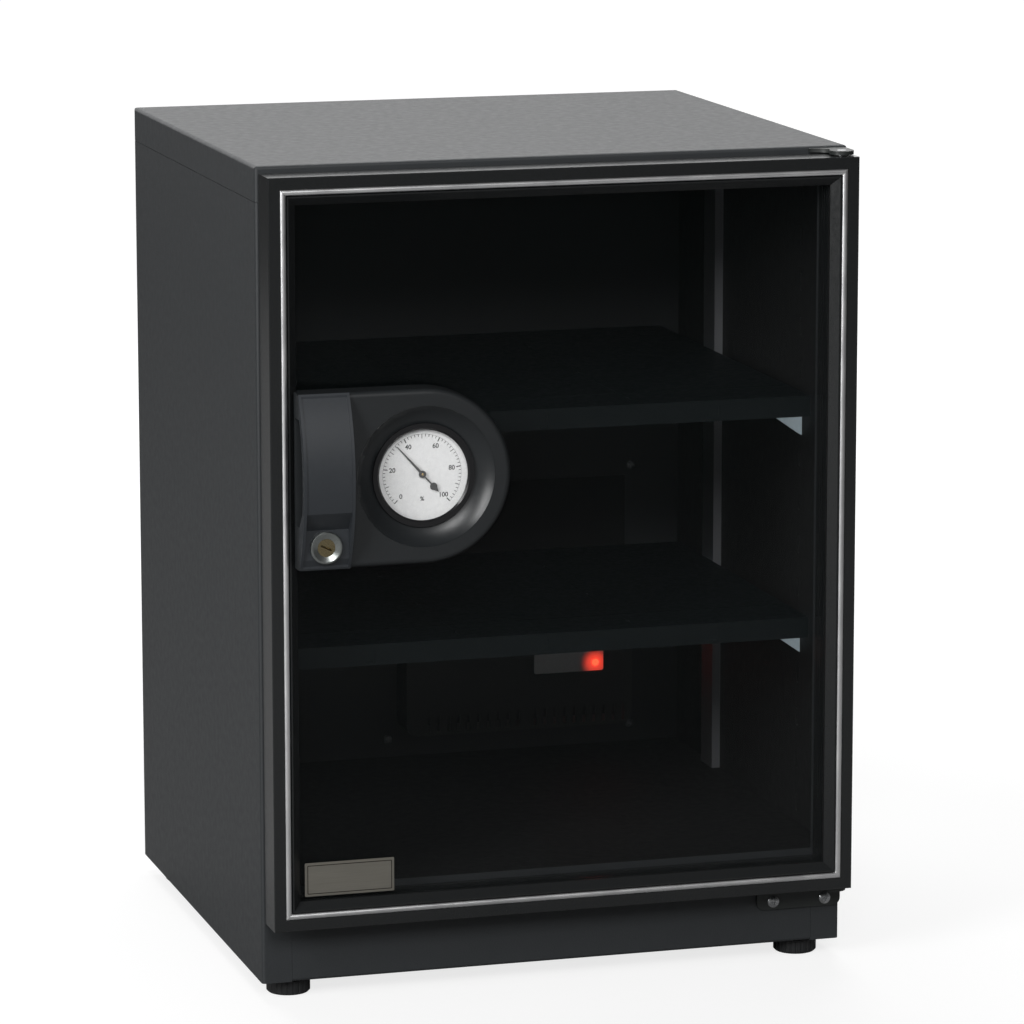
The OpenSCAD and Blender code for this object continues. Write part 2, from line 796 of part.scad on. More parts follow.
// A bar of the given section, its ends cut to the mitre
module mitred_bar(a, reach, gap = 0) {
    len = side_len(a) / 2 - gap;
    door_side(a) intersection() {
        rotate([90, 0, 90]) linear_extrude(2 * len, center = true) children();
        translate([0, 2 * door_t, 0]) rotate([90, 0, 0]) linear_extrude(3 * door_t)
            polygon([[-len, 0], [len, 0], [len - reach, reach], [reach - len, reach]]);
    }
}

// Section of the frame: depth from the front, then distance from the outer edge
module frame_section() {
    difference() {
        polygon([[edge_cut, 0], [0, edge_cut], [0, band_w + trim_w + trim_gap + bevel_land],
                 [glass_deep - gasket_wall - bevel_lip, frame_w], [door_t, frame_w],
                 [door_t, edge_cut], [door_t - edge_cut, 0]]);
        translate([-over, band_w]) square([trim_groove + over, trim_w + trim_gap]);
        translate([glass_deep - gasket_wall, bead_in])
            square([glass_t + 2 * gasket_wall, frame_w]);
        translate([chamber_front, chamber_in]) square([chamber_d, chamber_w]);
        translate([door_t - seal_d, seal_in]) square([seal_d + over, seal_w]);
        for (i = [0:2])
            translate([glass_deep + glass_t + ridge_w + i * ridge_pitch, frame_w - ridge_d])
                square([ridge_w, ridge_d + over]);
    }
}

bush_r = 5;
bush_past = 1;
bush_len = pin_len + bush_past;
module bush_bores() {
    for (z = [door_z0 - over, door_z1 - bush_len])
        translate([pivot_x, pivot_y, z]) cylinder(r = bush_r, h = bush_len + over);
}

module frame_bar(a) {
    color(frame_black) difference() {
        mitred_bar(a, frame_w) frame_section();
        bush_bores();
    }
}

module door_frame_top() {
    frame_bar(180);
}

module door_frame_bottom() {
    frame_bar(0);
}

module door_frame_left() {
    frame_bar(90);
}

module door_frame_right() {
    frame_bar(-90);
}

// L-shaped blocks in the frame's chambers that hold its corners together
key_len = 42;
module corner_keys() {
    color([0.6, 0.6, 0.6]) difference() {
        for (s = [-1, 1], t = [-1, 1])
            translate([s * door_half, door_y + chamber_front, door_mid + t * door_h / 2])
                mirror([s > 0 ? 1 : 0, 0, 0]) mirror([0, 0, t > 0 ? 1 : 0]) {
                    span([chamber_in, 0, chamber_in], [key_len, chamber_d, chamber_in + chamber_w]);
                    span([chamber_in, 0, chamber_in], [chamber_in + chamber_w, chamber_d, key_len]);
                }
        bush_bores();
    }
}

mitre_gap = 0.05;
module door_trim() {
    crown = trim_sag - trim_proud;
    color([0.78, 0.79, 0.8]) for (a = [0, 90, 180, -90])
        mitred_bar(a, frame_w, mitre_gap) {
            translate([crown, band_w]) square([trim_groove - crown, trim_w]);
            intersection() {
                translate([-trim_proud, band_w]) square([trim_sag, trim_w]);
                translate([trim_r - trim_proud, band_w + trim_w / 2]) circle(trim_r);
            }
        }
}

// The rectangle at a distance in from the door's edges, over a depth
module door_slab(in, y0, y1) {
    span([in - door_half, y0, door_z0 + in], [door_half - in, y1, door_z1 - in]);
}

hole_slack = 0.8;
module door_glass() {
    color([0.7, 0.75, 0.75, 0.35]) difference() {
        door_slab(glass_edge, glass_y, glass_back);
        along_y(dial_x, glass_y - over, dial_z, case_r + hole_slack, glass_t + 2 * over);
        along_y(lock_x, glass_y - over, lock_z, barrel_r + hole_slack, glass_t + 2 * over);
        for (p = handle_fixings)
            along_y(p[0], glass_y - over, p[1], screw_r + slack, glass_t + 2 * over);
    }
}

module glazing_gasket() {
    color([0.05, 0.05, 0.05]) difference() {
        door_slab(bead_in, glass_y - gasket_wall, glass_back + gasket_wall);
        door_slab(bead_out, glass_y - gasket_wall - over, glass_back + gasket_wall + over);
        door_slab(glass_edge, glass_y, glass_back);
    }
}

// The seal between door and case: a dart in the groove and a hollow bulb behind it
bulb_r = door_gap / 2 - seam / 2;
bulb_wall = 0.6;
bulb_hole_r = bulb_r - bulb_wall;
seal_mid = seal_in + seal_w / 2;
module door_gasket() {
    color([0.05, 0.05, 0.05]) for (a = [0, 90, 180, -90])
        mitred_bar(a, frame_w) {
            translate([door_t - seal_d, seal_in]) square([seal_d, seal_w]);
            difference() {
                union() {
                    translate([door_t + bulb_r, seal_mid]) circle(bulb_r);
                    translate([door_t, seal_mid - bulb_r]) square([bulb_r, 2 * bulb_r]);
                }
                translate([door_t + bulb_r, seal_mid]) circle(bulb_hole_r);
            }
        }
}

module hinge_bushes() {
    color([0.9, 0.9, 0.88]) for (z = [door_z0, door_z1 - bush_len])
        translate([pivot_x, pivot_y, z]) difference() {
            cylinder(r = bush_r, h = bush_len);
            translate([0, 0, -over]) cylinder(r = pin_r + fit, h = bush_len + 2 * over);
        }
}

plate_margin = 0.8;
plate_t = 0.8;
name_plate_in = 23.3;
name_plate_up = 63.1;
name_plate_w = 60;
name_plate_h = 22.4;
module name_plate() {
    color([0.72, 0.7, 0.64]) translate([name_plate_in - half_w, glass_y, name_plate_up + low_z])
        rotate([90, 0, 0]) {
            linear_extrude(plate_t / 2) round_rect(name_plate_w, name_plate_h, plate_margin);
            translate([plate_margin, plate_margin, 0]) linear_extrude(plate_t)
                square([name_plate_w - 2 * plate_margin, name_plate_h - 2 * plate_margin]);
        }
}

// Handle

handle_grey = [0.2, 0.21, 0.22];
base_back = glass_y;
disc_r = handle_h / 2;
edge_r = 3.6;
ring_fit = 0.1;
finger_low = -29;
finger_high = 41;
finger_depth = 9;
grip_wall = 3;
barrel_fit = 0.2;

// Half the plate's section: distance from its middle, then depth behind its face
module plate_half(r, depth, e) {
    square([r - e, depth]);
    translate([0, e]) square([r, depth - e]);
    translate([r - e, e]) circle(e);
}

// The D-shaped body of the handle, out to r, from y
module plate_body(r, y, depth, e, x0) {
    translate([dial_x, y, dial_z]) rotate([-90, 0, 0]) rotate_extrude($fn = 96) plate_half(r, depth, e);
    for (s = [0, 1])
        translate([x0, y, dial_z]) mirror([0, 0, s]) rotate([90, 0, 90])
            linear_extrude(dial_x - x0) mirror([1, -1]) plate_half(r, depth, e);
}

fixing_edge = 6.6;
fixing_in = 10;
fixing_past = 6;
fixing_r = disc_r - fixing_edge;
handle_fixings = [
    [dial_x + fixing_r * cos(45), dial_z + fixing_r * sin(45)],
    [dial_x + fixing_r * cos(45), dial_z - fixing_r * sin(45)],
    [grip_x1 + fixing_past, handle_z1 - fixing_in], [grip_x1 + fixing_past, handle_z0 + fixing_in]
];
boss_out = 2.6;

// The finger pocket's outer block, or the pocket itself
module finger_block(wall, x0) {
    span([x0, plate_y + plate_wall / 2, dial_z + finger_low - wall],
         [grip_x1 - grip_wall + wall, plate_y + finger_depth + wall, dial_z + finger_high + wall]);
}

module handle_base() {
    color(handle_grey) difference() {
        union() {
            difference() {
                plate_body(disc_r, plate_y, base_back - plate_y, edge_r, handle_x0);
                plate_body(disc_r - plate_wall, plate_y + plate_wall, plate_out, edge_r,
                           handle_x0 + plate_wall);
            }
            finger_block(plate_wall, handle_x0);
            for (p = handle_fixings)
                along_y(p[0], plate_y + plate_wall / 2, p[1], screw_r + boss_out, plate_out - plate_wall / 2);
            along_y(lock_x, plate_y + plate_wall / 2, lock_z, barrel_r + boss_out,
                    plate_out - plate_wall / 2);
            // the collar behind the dished ring
            along_y(dial_x, plate_y + plate_wall / 2, dial_z, dish_r + boss_out, dish_deep + plate_wall / 2);
        }
        // the step that clears the frame's bevel
        span([handle_x0 - over, door_y - seam, handle_z0 - over],
             [seam - open_half, base_back + over, handle_z1 + over]);
        // the pocket, open to the left and to the front
        span([handle_x0 - over, plate_y - over, dial_z + finger_low],
             [grip_x1 - grip_wall, plate_y + finger_depth, dial_z + finger_high]);
        along_y(dial_x, plate_y - over, dial_z, dish_r, dish_deep + plate_wall / 2 + over);
        along_y(dial_x, plate_y - over, dial_z, case_r + ring_fit, plate_out + 2 * over);
        along_y(lock_x, plate_y - over, lock_z, barrel_r + barrel_fit, plate_out + 2 * over);
        for (p = handle_fixings)
            along_y(p[0], plate_y + 2 * plate_wall, p[1], screw_r, plate_out);
    }
}

// The grip in side view: the radius of its bow, and its centre's depth
bow_r = (pow(disc_r, 2) + pow(grip_bow, 2)) / (2 * grip_bow);
bow_y = plate_y - grip_bow + bow_r;
rim_w = 1.8;
rim_h = 0.7;
ramp_up = 1;
ramp_run = 13;
ramp_rise = 10.5;

// A prism across the grip, its section given as depth and height from the dial's centre
module grip_prism(x0, x1) {
    translate([x0, 0, dial_z]) rotate([90, 0, 90]) linear_extrude(x1 - x0) children();
}

module bow_disc(r) {
    translate([bow_y, 0]) circle(r, $fn = 180);
}

module handle_grip() {
    ramp_z = lock_z - dial_z + bezel_r + ramp_up;
    color([0.27, 0.28, 0.3]) difference() {
        union() {
            difference() {
                grip_prism(handle_x0, grip_x1) intersection() {
                    bow_disc(bow_r);
                    translate([plate_y - 2 * grip_bow, -disc_r]) square([2 * grip_bow, handle_h]);
                }
                // the shallow field between the rims
                grip_prism(handle_x0 + rim_w, grip_x1 - rim_w) difference() {
                    translate([plate_y - 2 * grip_bow, -disc_r]) square([2 * grip_bow - rim_h, handle_h]);
                    bow_disc(bow_r - rim_h);
                }
                // the lock's seat, with a ramp above it
                grip_prism(handle_x0 + rim_w, grip_x1 - rim_w)
                    polygon([
                        [lock_y, -disc_r - over], [lock_y, ramp_z],
                        [lock_y - ramp_rise, ramp_z + ramp_run],
                        [lock_y - 2 * grip_bow, ramp_z + ramp_run],
                        [lock_y - 2 * grip_bow, -disc_r - over]
                    ]);
            }
            along_y(lock_x, lock_y, lock_z, bezel_r + slack, seat_in);
        }
        // the hollow for the fingers, open to the left
        grip_prism(handle_x0 - over, grip_x1 - grip_wall) intersection() {
            bow_disc(bow_r - grip_t);
            polygon([[plate_y + over, finger_low], [plate_y, finger_low],
                     [plate_y - ramp_rise, finger_low + ramp_run], [plate_y - ramp_rise, finger_high],
                     [plate_y + over, finger_high]]);
        }
        along_y(lock_x, lock_y - over, lock_z, barrel_r + barrel_fit, seat_in + 2 * over);
    }
}

back_margin = 4;
backplate_t = 2;
module handle_backplate() {
    color([0.6, 0.6, 0.62]) difference() {
        translate([0, glass_back + backplate_t, 0]) rotate([90, 0, 0]) linear_extrude(backplate_t) {
            translate([dial_x, dial_z]) circle(disc_r - back_margin, $fn = 96);
            translate([-open_half + back_margin / 4, dial_z - disc_r + back_margin])
                square([dial_x + open_half - back_margin / 4, handle_h - 2 * back_margin]);
        }
        along_y(dial_x, glass_back - over, dial_z, case_r + ring_fit, backplate_t + 2 * over);
        along_y(lock_x, glass_back - over, lock_z, barrel_r + barrel_fit, backplate_t + 2 * over);
        for (p = handle_fixings)
            along_y(p[0], glass_back - over, p[1], screw_r + fit, backplate_t + 2 * over);
    }
}

fixing_len = backplate_t + glass_t + plate_out - 3 * plate_wall;
module handle_screws() {
    color([0.75, 0.75, 0.77]) for (p = handle_fixings)
        translate([0, glass_back + backplate_t, 0]) mirror([0, 1, 0])
            pan_screw(p[0], 0, p[1], fixing_len);
}

// Hygrometer: depths are measured behind the handle's face

dish_deep = 7;
dish_sag = 1;
dish_chord = [dish_r - case_r, dish_deep];
dish_len = norm(dish_chord);
dish_arc_r = (pow(dish_len / 2, 2) + pow(dish_sag, 2)) / (2 * dish_sag);
dish_mid = [(dish_r + case_r) / 2, dish_deep / 2];
dish_centre = dish_mid - (dish_arc_r - dish_sag) * [dish_chord[1], dish_chord[0]] / dish_len;

module dial_surround() {
    color(handle_grey) translate([dial_x, plate_y, dial_z]) rotate([-90, 0, 0]) rotate_extrude($fn = 96)
        difference() {
            translate([case_r + ring_fit, 0])
                square([dish_r - ring_fit - case_r - ring_fit, dish_deep + plate_wall / 2]);
            translate(dish_centre) circle(dish_arc_r, $fn = 120);
        }
}

bezel_at = 5;
lip_t = 1.2;
lens_t = 1.2;
face_at = 10;
face_t = 0.8;
case_wall = 2;
tube_past = 1;
tube_end = front_y + tube_past - plate_y;
case_back_t = 1.5;
shoulder_t = 1.5;
bore_r = case_r - case_wall;
vent_ring_r = 18;
case_vents = 10;
case_vent_r = 3;
module hygrometer_case() {
    color([0.04, 0.04, 0.04]) translate([dial_x, plate_y, dial_z]) rotate([-90, 0, 0]) difference() {
        rotate_extrude($fn = 96) difference() {
            translate([0, bezel_at]) square([case_r, tube_end - bezel_at]);
            // the window, bevelled towards the lens
            polygon([[0, bezel_at - over], [face_r + lip_t + over, bezel_at - over],
                     [face_r, bezel_at + lip_t], [0, bezel_at + lip_t]]);
            translate([0, bezel_at + lip_t - over / 2])
                square([face_r, lens_t]);
            translate([0, bezel_at + lip_t]) square([bore_r, face_at + face_t - bezel_at - lip_t]);
            translate([0, face_at - over]) square([bore_r - shoulder_t, shoulder_t + 2 * over]);
            translate([0, face_at + face_t + shoulder_t])
                square([bore_r, tube_end - case_back_t - face_at - face_t - shoulder_t]);
        }
        for (i = [0:case_vents - 1])
            rotate(i * 360 / case_vents) translate([vent_ring_r, 0, tube_end - case_back_t - over])
                cylinder(r = case_vent_r, h = case_back_t + 2 * over);
    }
}

spindle_r = 0.8;
module dial_face() {
    color([0.95, 0.95, 0.95]) difference() {
        along_y(dial_x, plate_y + face_at, dial_z, bore_r, face_t);
        along_y(dial_x, plate_y + face_at - over, dial_z, spindle_r + seam, face_t + 2 * over);
    }
}

// A clear disc with a skirt behind it that holds the face off
module dial_lens() {
    color([0.9, 0.95, 0.95, 0.3]) difference() {
        along_y(dial_x, plate_y + bezel_at + lip_t, dial_z, bore_r, face_at - bezel_at - lip_t);
        along_y(dial_x, plate_y + bezel_at + lip_t + lens_t, dial_z, bore_r - shoulder_t, face_at);
    }
}

// The moisture coil: a flat spiral on a bridge, with the spindle's bearing
coil_turns = 3;
coil_steps = 24;
coil_r0 = 4;
coil_pitch = 2.2;
coil_t = 0.6;
coil_w = 4;
coil_post_r = 1;
bridge_w = 9;
bridge_t = 1.5;
bridge_at = face_at + face_t + shoulder_t;
function spiral(r, i) = [(r + coil_pitch * i / coil_steps) * cos(360 * i / coil_steps),
                         (r + coil_pitch * i / coil_steps) * sin(360 * i / coil_steps)];
module hygrometer_coil() {
    steps = coil_turns * coil_steps;
    color([0.75, 0.6, 0.3]) translate([dial_x, plate_y + bridge_at, dial_z]) rotate([-90, 0, 0]) {
        difference() {
            intersection() {
                translate([-bore_r, -bridge_w / 2, 0]) cube([2 * bore_r, bridge_w, bridge_t]);
                cylinder(r = bore_r, h = bridge_t, $fn = 96);
            }
            translate([0, 0, -over]) cylinder(r = spindle_r + fit, h = bridge_t + 2 * over);
        }
        translate([0, 0, 2 * bridge_t]) linear_extrude(coil_w) polygon(concat(
            [for (i = [0:steps]) spiral(coil_r0, i)],
            [for (i = [steps:-1:0]) spiral(coil_r0 + coil_t, i)]));
        // the post that holds the coil's outer end
        translate([coil_r0 + coil_turns * coil_pitch + coil_t / 2, 0, bridge_t / 2])
            cylinder(r = coil_post_r, h = 3 * bridge_t / 2 + coil_w);
    }
}

// Lock

bezel_t = 2.5;
bezel_flat = 1.4;
bezel_sink = 1.2;
barrel_short = 2;
barrel_end = front_y - barrel_short;
nut_t = 4;
lock_nut_r = 13;
module lock_body() {
    color([0.82, 0.83, 0.84])
    translate([lock_x, lock_y, lock_z]) rotate([-90, 0, 0]) rotate_extrude() polygon([
        [plug_r + fit, bezel_sink - bezel_t], [bezel_r - bezel_flat, -bezel_t], [bezel_r - slack, -bezel_t],
        [bezel_r, slack - bezel_t], [bezel_r, 0], [barrel_r, 0], [barrel_r, barrel_end - lock_y],
        [plug_r + fit, barrel_end - lock_y]
    ]);
}

module lock_nut() {
    color([0.7, 0.7, 0.72]) difference() {
        translate([lock_x, glass_back + backplate_t, lock_z]) rotate([-90, 0, 0])
            cylinder(r = lock_nut_r, h = nut_t, $fn = 6);
        along_y(lock_x, glass_back + backplate_t - over, lock_z, barrel_r + fit, nut_t + 2 * over);
    }
}

slot_l = 8;
slot_t = 1.4;
slot_deep = 6;
cam_behind = 3.3;
cam_y = front_y + cam_behind;
cam_t = 2;
cam_w = 12;
tang_w = 6;
head_t = 1.3;
head_r = 4.6;
module lock_plug() {
    front = lock_y - bezel_t + bezel_sink;
    color([0.85, 0.82, 0.72]) difference() {
        union() {
            along_y(lock_x, front, lock_z, plug_r, cam_y - front);
            span([lock_x - tang_w / 2, cam_y - over, lock_z - tang_w / 2],
                 [lock_x + tang_w / 2, cam_y + cam_t + over, lock_z + tang_w / 2]);
            along_y(lock_x, cam_y + cam_t, lock_z, head_r, head_t);
        }
        // the key's slot
        translate([lock_x, front, lock_z]) rotate([0, lock_slot_turn, 0])
            translate([-slot_l / 2, -over, -slot_t / 2]) cube([slot_l, slot_deep + over, slot_t]);
    }
}

lock_slot_turn = 25;
module lock_cam() {
    color([0.7, 0.7, 0.72]) difference() {
        translate([lock_x, cam_y + cam_t, lock_z]) rotate([90, 0, 0]) linear_extrude(cam_t) {
            circle(cam_w / 2);
            translate([-cam_w / 2, cam_w / 2 - cam_reach]) square([cam_w, cam_reach - cam_w / 2]);
            translate([0, cam_w / 2 - cam_reach]) circle(cam_w / 2);
        }
        span([lock_x - tang_w / 2, cam_y - over, lock_z - tang_w / 2],
             [lock_x + tang_w / 2, cam_y + cam_t + over, lock_z + tang_w / 2]);
    }
}

// The needle, drawn at its reading; its pointer, hub, tail and spindle
needle_turn = -42;
pointer_len = 25;
pointer_w = 0.9;
hub_r = 2.4;
tail_at = 11;
tail_r = 2.4;
tail_len = 5;
needle_at = 8.3;
needle_t = 0.6;
cap_t = 0.5;
module needle() {
    color([0.05, 0.05, 0.05]) translate([dial_x, plate_y, dial_z]) {
        rotate([0, needle_turn, 0]) translate([0, needle_at + needle_t, 0]) rotate([90, 0, 0])
            linear_extrude(needle_t) {
                circle(hub_r);
                polygon([[-pointer_w, 0], [-pointer_w / 4, pointer_len], [pointer_w / 4, pointer_len],
                         [pointer_w, 0]]);
                polygon([[-pointer_w / 2, 0], [-pointer_w / 2, -tail_at], [pointer_w / 2, -tail_at],
                         [pointer_w / 2, 0]]);
                translate([0, -tail_at]) circle(tail_r);
                polygon([[-tail_r, -tail_at], [0, -tail_at - tail_len], [tail_r, -tail_at]]);
            }
        along_y(0, needle_at - cap_t, 0, hub_r / 2, cap_t);
        along_y(0, needle_at, 0, spindle_r, bridge_at + bridge_t + coil_w - needle_at);
    }
}

// Shelves

shelf_side = 1;
hem = 6;
score_w = 0.8;
score_deep = 0.3;
score_front = 45;
shelf_hole_r = 1.4;
shelf_hole_shares = [0.08, 0.42, 0.78];
module shelf(z, y1) {
    w = open_half - shelf_side;
    y0 = front_y + shelf_back;
    color([0.06, 0.07, 0.08]) difference() {
        span([-w, y0, z - lip_h], [w, y1, z]);
        span([shelf_t - w, y0 + shelf_t, z - lip_h + shelf_t],
             [w - shelf_t, y1 - shelf_t, z - shelf_t]);
        // open underneath, behind the hem
        span([shelf_t - w, y0 + hem, z - lip_h - over],
             [w - shelf_t, y1 - shelf_t, z - lip_h + 2 * shelf_t]);
        for (s = [-1, 1])
            span([s * w / 3 - score_w / 2, y0 + shelf_t, z - score_deep],
                 [s * w / 3 + score_w / 2, y1 - shelf_t, z + over]);
        span([shelf_t - w, y0 + score_front, z - score_deep],
             [w - shelf_t, y0 + score_front + score_w, z + over]);
        for (s = [-1, 1], k = shelf_hole_shares)
            translate([s * w / 3, y0 + k * (y1 - y0), z - shelf_t - over])
                cylinder(r = shelf_hole_r, h = shelf_t + 2 * over, $fn = 24);
    }
}

module upper_shelf() {
    shelf(slot_z(upper_slot_count) + clip_rise + lip_h, back_y - upper_shelf_gap);
}

module lower_shelf() {
    shelf(slot_z(lower_slot_count) + clip_rise + lip_h, unit_y - lower_shelf_gap);
}

// Feet: a fluted disc with a flat sole, and the stud above it
flute_count = 24;
flute_r = 0.9;
foot_neck = 2.5;
neck_share = 0.6;
sole_edge = 1.2;
stud_top = 25;
module foot(x, y) {
    color([0.05, 0.05, 0.05]) translate([x, y, 0]) {
        difference() {
            union() {
                cylinder(r1 = foot_r - sole_edge, r2 = foot_r, h = sole_edge);
                translate([0, 0, sole_edge]) cylinder(r = foot_r, h = foot_h - foot_neck - sole_edge);
            }
            for (i = [0:flute_count - 1])
                rotate(i * 360 / flute_count) translate([foot_r + flute_r / 2, 0, sole_edge])
                    cylinder(r = flute_r, h = foot_h, $fn = 12);
        }
        translate([0, 0, foot_h - foot_neck - over])
            cylinder(r = foot_r * neck_share, h = foot_neck + over - seam);
        translate([0, 0, foot_h / 2]) cylinder(r = stud_r, h = low_z + stud_top - foot_h / 2);
    }
}

module foot_front_left() {
    foot(-foot_x, foot_y[0]);
}

module foot_front_right() {
    foot(foot_x, foot_y[0]);
}

module foot_rear_left() {
    foot(-foot_x, foot_y[1]);
}

module foot_rear_right() {
    foot(foot_x, foot_y[1]);
}

// Each sub-part alone, or the whole
top_panel();
side_panel_left();
side_panel_right();
back_panel();
base_panel();
plinth_front();
floor_panel();
ceiling_panel();
inner_wall_left();
inner_wall_right();
side_channels();
shelf_clips();
foot_nuts();
panel_screws();
strike_plate();
top_hinge_bracket();
bottom_hinge_bracket();
hinge_pins();
hinge_screws();
unit_cover();
unit_top_plate();
desiccant_box();
heater_plate();
control_board();
status_led();
damper_frame();
rear_cover();
cord_gland();
door_frame_top();
door_frame_bottom();
door_frame_left();
door_frame_right();
corner_keys();
door_trim();
door_glass();
glazing_gasket();
door_gasket();
hinge_bushes();
handle_base();
handle_grip();
handle_backplate();
handle_screws();
dial_surround();
hygrometer_case();
dial_face();
dial_lens();
hygrometer_coil();
lock_body();
lock_nut();
name_plate();
lock_plug();
lock_cam();
needle();
upper_shelf();
lower_shelf();
foot_front_left();
foot_front_right();
foot_rear_left();
foot_rear_right();
damper_flap();
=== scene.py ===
import math

import bmesh
import bpy
from mathutils import Matrix, Vector


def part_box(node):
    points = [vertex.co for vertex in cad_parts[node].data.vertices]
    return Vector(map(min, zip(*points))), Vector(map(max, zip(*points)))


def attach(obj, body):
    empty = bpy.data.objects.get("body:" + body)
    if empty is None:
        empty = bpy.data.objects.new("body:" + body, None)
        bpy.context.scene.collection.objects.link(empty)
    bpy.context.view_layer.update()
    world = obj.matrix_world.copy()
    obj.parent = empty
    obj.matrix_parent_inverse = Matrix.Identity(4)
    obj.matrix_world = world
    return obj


bl_info = {
    "name": "Camera dry cabinet",
    "version": (1, 0, 0),
    "blender": (4, 5, 0),
    "location": "View3D > Sidebar > Cabinet",
    "description": "Finishes a steel dry cabinet with a glass door, and adds its printed detail",
    "category": "Object",
}

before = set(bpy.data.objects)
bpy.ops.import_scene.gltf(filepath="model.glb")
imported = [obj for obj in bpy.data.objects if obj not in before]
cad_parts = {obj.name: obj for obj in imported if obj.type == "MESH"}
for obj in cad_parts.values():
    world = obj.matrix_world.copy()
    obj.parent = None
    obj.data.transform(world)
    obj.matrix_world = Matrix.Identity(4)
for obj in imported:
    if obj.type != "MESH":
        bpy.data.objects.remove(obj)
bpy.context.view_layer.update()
MM = 0.001
SMOOTH_ANGLE = math.radians(32)
WELD = 0.001 * MM
COLOUR = dict(subtype="COLOR", size=3, min=0.0, max=1.0)
LENGTH = dict(subtype="DISTANCE", unit="LENGTH", min=0.0)
POWER = dict(subtype="POWER", unit="POWER", min=0.0)


# Sizes and colours that a user would change

class CabinetFinishes(bpy.types.PropertyGroup):
    case_colour: bpy.props.FloatVectorProperty(
        name="Case", description="Textured paint of the case",
        default=(0.0255, 0.0285, 0.031), **COLOUR)
    liner_colour: bpy.props.FloatVectorProperty(
        name="Liner", description="Satin paint inside the cabinet",
        default=(0.0105, 0.0108, 0.0112), **COLOUR)
    frame_colour: bpy.props.FloatVectorProperty(
        name="Door frame", description="Satin black of the door frame",
        default=(0.0125, 0.0135, 0.014), **COLOUR)
    shelf_colour: bpy.props.FloatVectorProperty(
        name="Shelves", description="Powder paint of the shelves",
        default=(0.0045, 0.0075, 0.0085), **COLOUR)
    handle_colour: bpy.props.FloatVectorProperty(
        name="Handle plate", description="Moulded plastic of the handle",
        default=(0.0125, 0.0145, 0.016), **COLOUR)
    grip_colour: bpy.props.FloatVectorProperty(
        name="Grip", description="Moulded plastic of the bowed grip",
        default=(0.022, 0.0255, 0.03), **COLOUR)
    trim_colour: bpy.props.FloatVectorProperty(
        name="Trim", description="Bright strips round the door",
        default=(0.95, 0.955, 0.965), **COLOUR)
    lamp_colour: bpy.props.FloatVectorProperty(
        name="Lamp", description="Glow of the drying unit's lamp",
        default=(1.0, 0.05, 0.02), **COLOUR)
    grain_size: bpy.props.FloatProperty(
        name="Paint grain", description="Width of the grain in the case's paint",
        default=0.9 * MM, **LENGTH)
    glass_density: bpy.props.FloatProperty(
        name="Glass density", description="Share of light that one face of the glass holds back",
        default=0.12, min=0.0, max=1.0, subtype="FACTOR")


class CabinetDial(bpy.types.PropertyGroup):
    scale_radius: bpy.props.FloatProperty(
        name="Scale radius", description="Outer radius of the printed scale",
        default=26.2 * MM, **LENGTH)
    long_tick: bpy.props.FloatProperty(
        name="Long ticks", description="Length of the ticks at every tenth reading",
        default=3.0 * MM, **LENGTH)
    short_tick: bpy.props.FloatProperty(
        name="Short ticks", description="Length of the ticks between",
        default=1.7 * MM, **LENGTH)
    number_height: bpy.props.FloatProperty(
        name="Numbers", description="Height of the line that a number of the scale stands in",
        default=3.7 * MM, **LENGTH)
    sweep: bpy.props.FloatProperty(
        name="Sweep", description="Angle from the first tick to the last",
        default=math.radians(270), min=0.0, max=math.tau, subtype="ANGLE", unit="ROTATION")


class CabinetDetails(bpy.types.PropertyGroup):
    label_width: bpy.props.FloatProperty(
        name="Lamp label", description="Width of the blank label round the lamp",
        default=52 * MM, **LENGTH)
    label_height: bpy.props.FloatProperty(
        name="Lamp label height", description="Height of the blank label",
        default=16 * MM, **LENGTH)
    tab_height: bpy.props.FloatProperty(
        name="Shelf tabs", description="Height of the welded tabs on the shelf lips",
        default=9 * MM, **LENGTH)
    rivet_radius: bpy.props.FloatProperty(
        name="Shelf rivets", description="Radius of the small rivets in the shelves",
        default=1.35 * MM, **LENGTH)


class CabinetStage(bpy.types.PropertyGroup):
    lens: bpy.props.FloatProperty(
        name="Lens", description="Focal length of the camera, in millimetres",
        default=183.0, min=1.0, subtype="DISTANCE_CAMERA", unit="CAMERA")
    key_power: bpy.props.FloatProperty(
        name="Left light", description="Power of the tall soft light at the left, in watts",
        default=60.0, **POWER)
    top_power: bpy.props.FloatProperty(
        name="Top light", description="Power of the soft light overhead, in watts",
        default=28.0, **POWER)
    fill_power: bpy.props.FloatProperty(
        name="Front light", description="Power of the soft light in front, in watts",
        default=54.0, **POWER)
    back_power: bpy.props.FloatProperty(
        name="Back light", description="Power of the wide soft light behind, in watts",
        default=30.0, **POWER)
    world_level: bpy.props.FloatProperty(
        name="Ambient", description="Strength of the even light from all round",
        default=0.08, min=0.0)


# Meshes

def middle(node):
    low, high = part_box(node)
    return (low + high) / 2


def add_piece(name, build, body, skin):
    """Makes a named piece from a bmesh that build fills, and lets it ride on a body."""
    mesh = bpy.data.meshes.new(name)
    shape = bmesh.new()
    build(shape)
    bmesh.ops.remove_doubles(shape, verts=shape.verts, dist=WELD)
    bmesh.ops.recalc_face_normals(shape, faces=shape.faces)
    shape.to_mesh(mesh)
    shape.free()
    mesh.shade_smooth()
    mesh.set_sharp_from_angle(angle=SMOOTH_ANGLE)
    piece = bpy.data.objects.new(name, mesh)
    bpy.context.scene.collection.objects.link(piece)
    mesh.materials.append(skin.material)
    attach(piece, body)


def soften(shape, edges, width, steps=2):
    bmesh.ops.bevel(shape, geom=list(edges), offset=width, segments=steps, affect="EDGES", profile=0.5)


